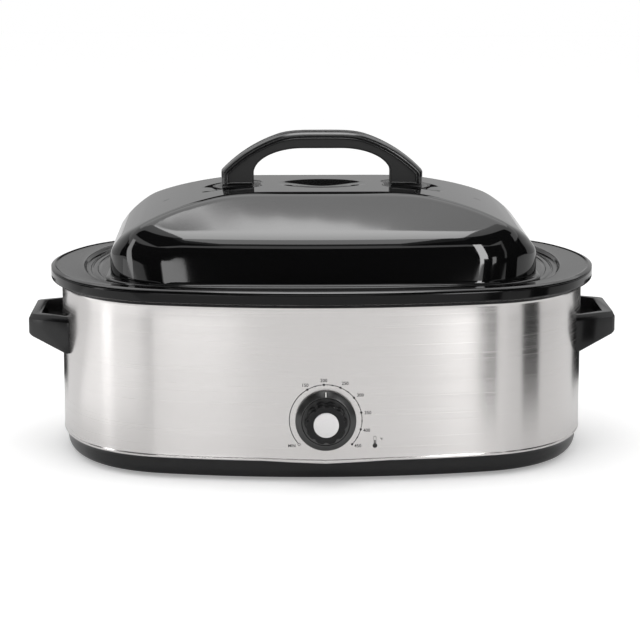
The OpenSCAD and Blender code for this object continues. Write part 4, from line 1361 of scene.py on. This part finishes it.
# the thermometer's bulb from the dial's centre, and the bars of its tube: place and size
BULB = (47.4, -25.6)
BULB_R = 2.3
TUBE = (
    (-1.25, 1.8, 0.35, 7.6), (0.9, 1.8, 0.35, 7.6), (-1.25, 9.1, 2.5, 0.35), (-0.55, 1.8, 1.1, 3.6),
)
# the print's line width, and how far it stands out of the steel and reaches in
LINE_WIDTH = 0.8
PRINT_PROUD = 0.09
DOT_PROUD = 0.1
PRINT_THICK = 0.08
DASHES = 8


class ROASTER_OT_dial(bpy.types.Operator):
    """Print the dial round the knob: line, dots, figures and a thermometer"""

    bl_idname = "roaster.dial"
    bl_label = "Dial"

    def execute(self, context):
        sizes = context.scene.roaster_sizes
        radius = sizes.dial_radius
        ink = "print_grey"
        marks = [angle for _, angle, _ in DIAL]
        shapes = [arc_band(radius, LINE_WIDTH, DIAL_START + 2.2, marks[0])]
        for a, b in zip(marks, marks[1:]):
            for i in range(DASHES):
                start = a + (b - a) * (i + 0.08) / DASHES
                stop = a + (b - a) * (i + 0.92) / DASHES
                shapes.append(arc_band(radius, LINE_WIDTH, start, stop, 1.0))
        shapes.append(disc(polar(radius, DIAL_START), 1.45, 0.95, 28))
        line = make_piece("dial_line", *joined(shapes), ink, recalc=False)
        wrap_to_front(line, PRINT_PROUD)
        dress(line, "body", "steel_band")
        self.dots(radius, marks, ink)
        self.figures(sizes, ink)
        return {"FINISHED"}

    def dots(self, radius, marks, ink):
        small = [FIRST_SMALL_DOT] + [(a + b) / 2 for a, b in zip(marks, marks[1:])]
        for name, angles, size in (("dial_dots", marks, 1.15), ("dial_small_dots", small, 0.72)):
            points = [(x, 0.0, z) for x, z in (polar(radius, a) for a in angles)]
            holder = make_piece(name, points, [], ink, recalc=False)
            dots_on_points(holder, size * MM, finishes[ink])
            settled(holder)
            wrap_to_front(holder, DOT_PROUD)
            dress(holder, "body", "steel_band")

    def figures(self, sizes, ink):
        pieces = [(figure, place, sizes.figure_height) for figure, _, place in DIAL]
        pieces += [(words, place, sizes.figure_height * share) for words, place, share in WORDS]
        meshes = [flat_words(words, x, KNOB_Z + z, size) for words, (x, z), size in pieces]
        x, z = BULB[0], KNOB_Z + BULB[1]
        meshes.append(disc((x, z), BULB_R, 0.0, 24))
        meshes.append(joined([thin_box(x + right, z + up, *size) for right, up, *size in TUBE]))
        piece = make_piece("dial_figures", *joined(meshes), ink, recalc=False)
        wrap_to_front(piece, PRINT_PROUD)
        dress(piece, "body", "steel_band")


def thin_box(x, z, wide, tall):
    """Points and face of a flat bar on the front."""
    right, top = x + wide, z + tall
    return [(x, 0.0, z), (right, 0.0, z), (right, 0.0, top), (x, 0.0, top)], [(0, 1, 2, 3)]


def flat_words(words, x, z, size):
    """Points and faces of flat lettering, centred on a place of the front."""
    curve = bpy.data.curves.new("figure", "FONT")
    curve.body = words
    curve.size = size
    curve.align_x = "CENTER"
    curve.align_y = "CENTER"
    curve.resolution_u = 3
    curve.offset = size * 0.016
    holder = placed("figure", curve)
    graph = bpy.context.evaluated_depsgraph_get()
    mesh = bpy.data.meshes.new_from_object(holder.evaluated_get(graph))
    points = [(x + v.co.x, 0.0, z + v.co.y) for v in mesh.vertices]
    faces = [tuple(p.vertices) for p in mesh.polygons]
    bpy.data.objects.remove(holder)
    bpy.data.meshes.remove(mesh)
    bpy.data.curves.remove(curve)
    return points, faces


# ---------------------------------------------------------------- Geometry Nodes


def socket_id(tree, name):
    """The identifier of a node group's input."""
    for item in tree.interface.items_tree:
        if item.item_type == "SOCKET" and item.in_out == "INPUT" and item.name == name:
            return item.identifier
    raise ValueError("no input named " + name)


def new_tree(name, inputs):
    """A geometry node group with a geometry input and output and some named inputs."""
    tree = bpy.data.node_groups.new(name, "GeometryNodeTree")
    tree.interface.new_socket("Geometry", in_out="OUTPUT", socket_type="NodeSocketGeometry")
    tree.interface.new_socket("Geometry", in_out="INPUT", socket_type="NodeSocketGeometry")
    for title, kind, value in inputs:
        socket = tree.interface.new_socket(title, in_out="INPUT", socket_type=kind)
        if value is not None:
            socket.default_value = value
    return tree, tree.nodes.new("NodeGroupInput"), tree.nodes.new("NodeGroupOutput")


def finish_tree(tree, source, group_in, group_out):
    """Ends a tree in Realize Instances and Set Material."""
    real = tree.nodes.new("GeometryNodeRealizeInstances")
    paint = tree.nodes.new("GeometryNodeSetMaterial")
    tree.links.new(source, real.inputs["Geometry"])
    link(tree, real, "Geometry", paint, "Geometry")
    link(tree, group_in, "Material", paint, "Material")
    link(tree, paint, "Geometry", group_out, "Geometry")


def apply_tree(piece, tree, values):
    """Puts a tree on a piece and sets its inputs."""
    modifier = piece.modifiers.new(tree.name, "NODES")
    modifier.node_group = tree
    for name, value in values.items():
        modifier[socket_id(tree, name)] = value


def dots_on_points(piece, radius, material):
    """Sets a flat disc on each point of a piece."""
    tree = bpy.data.node_groups.get("dots on points")
    if tree is None:
        tree, group_in, group_out = new_tree(
            "dots on points",
            (
                ("Radius", "NodeSocketFloat", 0.001), ("Sides", "NodeSocketInt", 20),
                ("Material", "NodeSocketMaterial", None),
            ),
        )
        circle = tree.nodes.new("GeometryNodeMeshCircle")
        circle.fill_type = "NGON"
        turn = add_node(tree, "GeometryNodeTransform", {"Rotation": (math.pi / 2, 0.0, 0.0)})
        to_points = tree.nodes.new("GeometryNodeMeshToPoints")
        scatter = tree.nodes.new("GeometryNodeInstanceOnPoints")
        link(tree, group_in, "Geometry", to_points, "Mesh")
        link(tree, group_in, "Radius", circle, "Radius")
        link(tree, group_in, "Sides", circle, "Vertices")
        link(tree, circle, "Mesh", turn, "Geometry")
        link(tree, to_points, "Points", scatter, "Points")
        link(tree, turn, "Geometry", scatter, "Instance")
        finish_tree(tree, scatter.outputs["Instances"], group_in, group_out)
    apply_tree(piece, tree, {"Radius": radius, "Sides": 20, "Material": material})


def wire_tree():
    """A tree that gives every edge of a mesh a round wire."""
    tree = bpy.data.node_groups.get("wire along edges")
    if tree is not None:
        return tree
    tree, group_in, group_out = new_tree(
        "wire along edges",
        (
            ("Radius", "NodeSocketFloat", 0.002), ("Sides", "NodeSocketInt", 16),
            ("Material", "NodeSocketMaterial", None),
        ),
    )
    to_curve = tree.nodes.new("GeometryNodeMeshToCurve")
    circle = tree.nodes.new("GeometryNodeCurvePrimitiveCircle")
    sweep = add_node(tree, "GeometryNodeCurveToMesh", {"Fill Caps": True})
    link(tree, group_in, "Geometry", to_curve, "Mesh")
    link(tree, group_in, "Sides", circle, "Resolution")
    link(tree, group_in, "Radius", circle, "Radius")
    link(tree, to_curve, "Curve", sweep, "Curve")
    link(tree, circle, "Curve", sweep, "Profile Curve")
    finish_tree(tree, sweep.outputs["Mesh"], group_in, group_out)
    return tree


def wires(name, paths, radius, material, sides=16):
    """A piece of round wires, one for each path; a closed path repeats its first point."""
    points, edges = [], []
    for path in paths:
        closed = len(path) > 3 and np.allclose(path[0], path[-1])
        run = list(path[:-1]) if closed else list(path)
        first = len(points)
        points.extend(tuple(float(c) * MM for c in p) for p in run)
        edges.extend((first + i, first + i + 1) for i in range(len(run) - 1))
        if closed:
            edges.append((first + len(run) - 1, first))
    mesh = bpy.data.meshes.new(name)
    mesh.from_pydata(points, edges, [])
    piece = placed(name, mesh)
    apply_tree(piece, wire_tree(), {"Radius": radius * MM, "Sides": sides, "Material": material})
    settled(piece, 50.0)
    return piece


# the rack's rods, rails and legs, as shares of its length, its depth and its half length
ROD_SPREAD = 0.88
RAIL_PLACE = 0.22
LEG_PLACE = 0.6


class ROASTER_OT_rack(bpy.types.Operator):
    """Make the chromed wire rack"""

    bl_idname = "roaster.rack"
    bl_label = "Wire rack"

    def execute(self, context):
        wire = 2.0
        half_x = rack_high.x - wire
        half_y = rack_high.y - wire
        corner = 80.0
        start = half_x - corner
        frame_z = rack_low.z + 15.0
        lift = 72.0

        def depth_at(x):
            """Half depth of the rack's frame at x."""
            if abs(x) < start:
                return half_y
            return half_y - corner + math.sqrt(corner**2 - (abs(x) - start) ** 2)

        chrome = finishes["chrome"]
        plan = corner_ring(half_x, half_y, corner, (6, 24, 8))
        ring = [(x, y, frame_z) for x, y in plan]
        ring.append(ring[0])
        loops = [ring]
        bails = []
        for side in (-1, 1):
            x = side * half_x
            path = [(x, 34.0, frame_z)]
            for centre, turn in ((25.0, 0), (-25.0, 90)):
                for i in range(9):
                    a = math.radians(turn + 90 * i / 8)
                    path.append((x, centre + 9 * math.cos(a), frame_z + lift - 9 + 9 * math.sin(a)))
            path.append((x, -34.0, frame_z))
            bails.append(path)
        rods = []
        count = 13
        pitch = 2 * half_x * ROD_SPREAD / (count - 1)
        for i in range(count):
            x = (i - (count - 1) / 2) * pitch
            rods.append([(x, -depth_at(x), frame_z + 1.3), (x, depth_at(x), frame_z + 1.3)])
        for side in (-1, 1):
            y = side * 2 * half_y * RAIL_PLACE
            rods.append([(-half_x, y, frame_z - 0.4), (half_x, y, frame_z - 0.4)])
        legs = []
        for sx in (-1, 1):
            for sy in (-1, 1):
                x = sx * half_x * LEG_PLACE
                y = sy * depth_at(x)
                legs.append([(x, y, frame_z), (x, y, rack_low.z)])
        pieces = (
            ("rack_frame", loops, wire, 16, ["roasting_rack"]),
            ("rack_handles", bails, 1.7, 14, []),
            ("rack_rods", rods, 1.35, 12, []),
            ("rack_legs", legs, 1.6, 12, []),
        )
        for name, paths, radius, sides, nodes in pieces:
            piece = wires(name, paths, radius, chrome, sides)
            dress(piece, "rack", "rack_chrome", *nodes)
        return {"FINISHED"}


# ---------------------------------------------------------------- stage and camera

EYE_DISTANCE = 2.4
EYE_ELEVATION = 11.0
EYE_AZIMUTH = -1.25
EYE_TARGET = (-0.00176, 0.0, 0.1266)
FOCAL_PIXELS = 2339.0
FRAME_PIXELS = 640.0
SENSOR = 36.0

FLOOR_HALF = 6.0
FLOOR_GLOW = 0.3
WORLD_DIFFUSE = 0.8
WORLD_SEEN = 1.0
# the back edge of the bright card overhead: points along X, the bulge and its fall
EDGE_XS = (-0.42, -0.33, -0.24, -0.16, -0.08, 0.0, 0.08, 0.16, 0.24, 0.33, 0.42)
EDGE_Y = 0.885
EDGE_FALL = 0.17
EDGE_HALF = 0.3
EDGE_SHIFT = 0.03
CARD_Z = 2.1
# level cards: name, reach in X and in Y, height and strength
LEVEL_CARDS = (
    ("overhead_mid", (-0.42, 0.4), (-1.7, -0.3), CARD_Z, 2.6),
    ("overhead_dim", (-0.6, 0.6), (-2.9, -0.1), 2.35, 0.2),
    ("overhead_black_left", (-3.0, -0.6), (-3.2, -0.1), 2.35, 0.0),
    ("overhead_black_right", (0.6, 3.0), (-3.2, -0.1), 2.35, 0.0),
)
# flat upright cards behind the object: name, half width, Y and heights
BACK_CARDS = (
    ("back_dark_low", 0.36, 2.4, (0.05, 0.47)),
    ("back_dark_high", 0.55, 3.0, (0.83, 2.3)),
)
BACK_STRENGTH = 0.02
# bent cards: name, azimuths, distance, heights and strength; the first four stand on both sides
PAIRED_CARDS = (
    ("front_black_", (0.0, 42.0), 3.4, (0.38, 1.7), 0.0),
    ("side_black_", (33.0, 75.0), 3.5, (0.0, 1.8), 0.0),
    ("far_black_", (75.0, 106.0), 3.5, (0.0, 1.6), 0.0),
    ("front_low_", (0.0, 32.0), 3.3, (0.0, 0.37), 1.5),
)
SINGLE_CARDS = (
    ("left_strip", (-32.0, -15.0), 2.65, (0.0, 0.4), 3.4),
    ("left_window", (-84.0, -74.0), 1.9, (0.0, 1.1), 3.4),
    ("right_window", (24.0, 35.0), 2.65, (0.32, 1.9), 9.0),
    ("right_bar", (41.0, 46.0), 2.65, (0.2, 0.5), 3.0),
    ("right_soft", (58.0, 66.0), 2.65, (0.3, 1.6), 0.7),
)
# a glow on the floor that the left end of the steel mirrors
GLOW_CORNERS = ((-2.0, -1.6), (-0.4, -0.5), (-0.45, 0.1), (-2.0, 0.1))
GLOW_Z = 0.002
# black cards close to the ends of the steel, bent round a centre there
RIGHT_END, LEFT_END = (0.135, -0.045), (-0.135, -0.045)
STEEL_CARDS = (
    ("steel_dark_narrow", (24.0, 30.0), 0.42, (0.0, 0.24), 0.0, RIGHT_END),
    ("steel_dark_wide", (54.0, 72.0), 0.42, (0.0, 0.5), 0.0, RIGHT_END),
    ("steel_dark_edge", (125.0, 178.0), 0.4, (0.0, 0.12), 0.0, RIGHT_END),
    ("steel_dark_left", (-178.0, -135.0), 0.4, (0.0, 0.12), 0.0, LEFT_END),
)


def card(name, corners, strength, faces=None):
    """A flat studio card that only reflections see: white or grey by its strength, or black."""
    mesh = bpy.data.meshes.new(name)
    mesh.from_pydata(corners, [], faces or [tuple(range(len(corners)))])
    panel = placed(name, mesh)
    material = bpy.data.materials.new(name)
    material.use_nodes = True
    tree = material.node_tree
    tree.nodes.clear()
    glow = add_node(tree, "ShaderNodeEmission", {"Strength": strength})
    out = tree.nodes.new("ShaderNodeOutputMaterial")
    link(tree, glow, "Emission", out, "Surface")
    mesh.materials.append(material)
    panel.visible_camera = False
    panel.visible_diffuse = False
    panel.visible_shadow = False


def standing_card(name, azimuths, distance, heights, strength, centre=(0.0, 0.0)):
    """A card bent round a centre, between two azimuths from the front, at a distance."""
    first, last = azimuths
    count = max(1, math.ceil(abs(last - first) / 12.0))
    corners, faces = [], []
    for i in range(count + 1):
        a = math.radians(first + (last - first) * i / count)
        x, y = centre[0] + distance * math.sin(a), centre[1] - distance * math.cos(a)
        corners += [(x, y, heights[0]), (x, y, heights[1])]
    for i in range(count):
        faces.append((2 * i, 2 * i + 2, 2 * i + 3, 2 * i + 1))
    card(name, corners, strength, faces)


def hanging_card(name, xs, ys, height, strength):
    """A level card above the object."""
    (left, right), (near, far) = xs, ys
    plan = ((left, near), (right, near), (right, far), (left, far))
    card(name, [(x, y, height) for x, y in plan], strength)


class ROASTER_OT_stage(bpy.types.Operator):
    """Set the floor, the studio light and the camera"""

    bl_idname = "roaster.stage"
    bl_label = "Stage"

    def execute(self, context):
        context.scene.view_settings.view_transform = "Standard"
        self.camera()
        self.floor()
        self.world()
        self.lights()
        return {"FINISHED"}

    def camera(self):
        data = bpy.data.cameras.new("product_view")
        data.sensor_width = SENSOR
        data.lens = FOCAL_PIXELS * SENSOR / FRAME_PIXELS
        camera = placed("product_view", data)
        e, a = math.radians(EYE_ELEVATION), math.radians(EYE_AZIMUTH)
        back = Vector((math.sin(a) * math.cos(e), -math.cos(a) * math.cos(e), math.sin(e)))
        camera.location = Vector(EYE_TARGET) + back * EYE_DISTANCE
        camera.rotation_euler = back.to_track_quat("Z", "Y").to_euler()
        bpy.context.scene.camera = camera

    def floor(self):
        mesh = bpy.data.meshes.new("floor")
        s = FLOOR_HALF
        mesh.from_pydata([(-s, -s, 0), (s, -s, 0), (s, s, 0), (-s, s, 0)], [], [(0, 1, 2, 3)])
        floor = placed("floor", mesh)
        material = bpy.data.materials.new("pale_floor")
        material.use_nodes = True
        tree = material.node_tree
        shader = tree.nodes["Principled BSDF"]
        shader.inputs["Base Color"].default_value = (0.86, 0.86, 0.86, 1.0)
        shader.inputs["Roughness"].default_value = 0.9
        shader.inputs["Specular IOR Level"].default_value = 0.1
        glow = tree.nodes.new("ShaderNodeEmission")
        add = tree.nodes.new("ShaderNodeAddShader")
        path = tree.nodes.new("ShaderNodeLightPath")
        scale = tree.nodes.new("ShaderNodeMath")
        scale.operation = "MULTIPLY"
        scale.inputs[1].default_value = FLOOR_GLOW
        link(tree, path, "Is Camera Ray", scale, 0)
        link(tree, scale, "Value", glow, "Strength")
        link(tree, shader, "BSDF", add, 0)
        link(tree, glow, "Emission", add, 1)
        tree.links.new(add.outputs["Shader"], tree.nodes["Material Output"].inputs["Surface"])
        mesh.materials.append(material)

    def world(self):
        world = bpy.data.worlds.new("studio")
        bpy.context.scene.world = world
        world.use_nodes = True
        tree = world.node_tree
        back = tree.nodes["Background"]
        back.inputs["Color"].default_value = (1, 1, 1, 1)
        path = tree.nodes.new("ShaderNodeLightPath")
        limits = {"To Min": WORLD_DIFFUSE, "To Max": WORLD_SEEN}
        strength = add_node(tree, "ShaderNodeMapRange", limits)
        seen = path.outputs["Is Camera Ray"]
        for kind in ("Is Glossy Ray", "Is Transmission Ray"):
            either = tree.nodes.new("ShaderNodeMath")
            either.operation = "MAXIMUM"
            tree.links.new(seen, either.inputs[0])
            link(tree, path, kind, either, 1)
            seen = either.outputs["Value"]
        tree.links.new(seen, strength.inputs["Value"])
        link(tree, strength, "Result", back, "Strength")

    def lights(self):
        softbox = bpy.data.lights.new("overhead_softbox", "AREA")
        softbox.shape = "RECTANGLE"
        softbox.size = 1.8
        softbox.size_y = 1.2
        softbox.energy = 14.0
        lamp = placed("overhead_softbox", softbox)
        lamp.location = (-0.2, -0.3, 2.3)
        lamp.visible_glossy = False
        lamp.visible_camera = False
        self.overhead()
        self.around()

    def overhead(self):
        edge = [
            (x + EDGE_SHIFT, EDGE_Y - EDGE_FALL * (x / EDGE_HALF) ** 2, CARD_Z) for x in EDGE_XS
        ]
        far = [(x, y, CARD_Z) for x, y in ((1.5, 0.55), (1.5, 1.9), (-1.5, 1.9))]
        near = [(x, -0.3, CARD_Z) for x in (0.45, -0.39)]
        card("overhead_grey", [(-1.5, 0.55, CARD_Z)] + edge + far, 1.9)
        card("overhead_bright", edge + near, 5.6)
        for values in LEVEL_CARDS:
            hanging_card(*values)

    def around(self):
        standing_card("back_grey", (106.0, 254.0), 3.3, (-0.3, 1.5), 0.5)
        for name, half, y, (low, high) in BACK_CARDS:
            corners = ((-half, y, low), (half, y, low), (half, y, high), (-half, y, high))
            card(name, corners, BACK_STRENGTH)
        for side, end in ((-1, "left"), (1, "right")):
            for name, (first, last), *values in PAIRED_CARDS:
                standing_card(name + end, (side * first, side * last), *values)
        for values in SINGLE_CARDS:
            standing_card(*values)
        card("floor_glow_left", [(x, y, GLOW_Z) for x, y in GLOW_CORNERS], 1.3)
        for values in STEEL_CARDS:
            standing_card(*values)


class ROASTER_PT_panel(bpy.types.Panel):
    """The pieces of the roaster oven"""

    bl_label = "Roaster oven"
    bl_idname = "ROASTER_PT_panel"
    bl_space_type = "VIEW_3D"
    bl_region_type = "UI"
    bl_category = "Roaster"

    def draw(self, context):
        for group in (context.scene.roaster_sizes, context.scene.roaster_colours):
            box = self.layout.box()
            for name in group.bl_rna.properties.keys():
                if name not in {"rna_type", "name"}:
                    box.prop(group, name)
        for operator in OPERATORS:
            self.layout.operator(operator.bl_idname)


OPERATORS = (
    ROASTER_OT_stage,
    ROASTER_OT_band,
    ROASTER_OT_base,
    ROASTER_OT_collar,
    ROASTER_OT_pan,
    ROASTER_OT_side_handles,
    ROASTER_OT_lid,
    ROASTER_OT_lid_handle,
    ROASTER_OT_knob,
    ROASTER_OT_dial,
    ROASTER_OT_rack,
)
CLASSES = (RoasterSizes, RoasterColours) + OPERATORS + (ROASTER_PT_panel,)


def register():
    """Registers the classes and their settings."""
    for cls in CLASSES:
        bpy.utils.register_class(cls)
    bpy.types.Scene.roaster_sizes = bpy.props.PointerProperty(type=RoasterSizes)
    bpy.types.Scene.roaster_colours = bpy.props.PointerProperty(type=RoasterColours)


def unregister():
    """Removes the settings and the classes."""
    del bpy.types.Scene.roaster_colours
    del bpy.types.Scene.roaster_sizes
    for cls in reversed(CLASSES):
        bpy.utils.unregister_class(cls)


def main():
    """Makes every piece."""
    register()
    make_finishes(bpy.context.scene.roaster_colours)
    for operator in OPERATORS:
        group, name = operator.bl_idname.split(".")
        getattr(getattr(bpy.ops, group), name)()


if __name__ == "__main__":
    main()
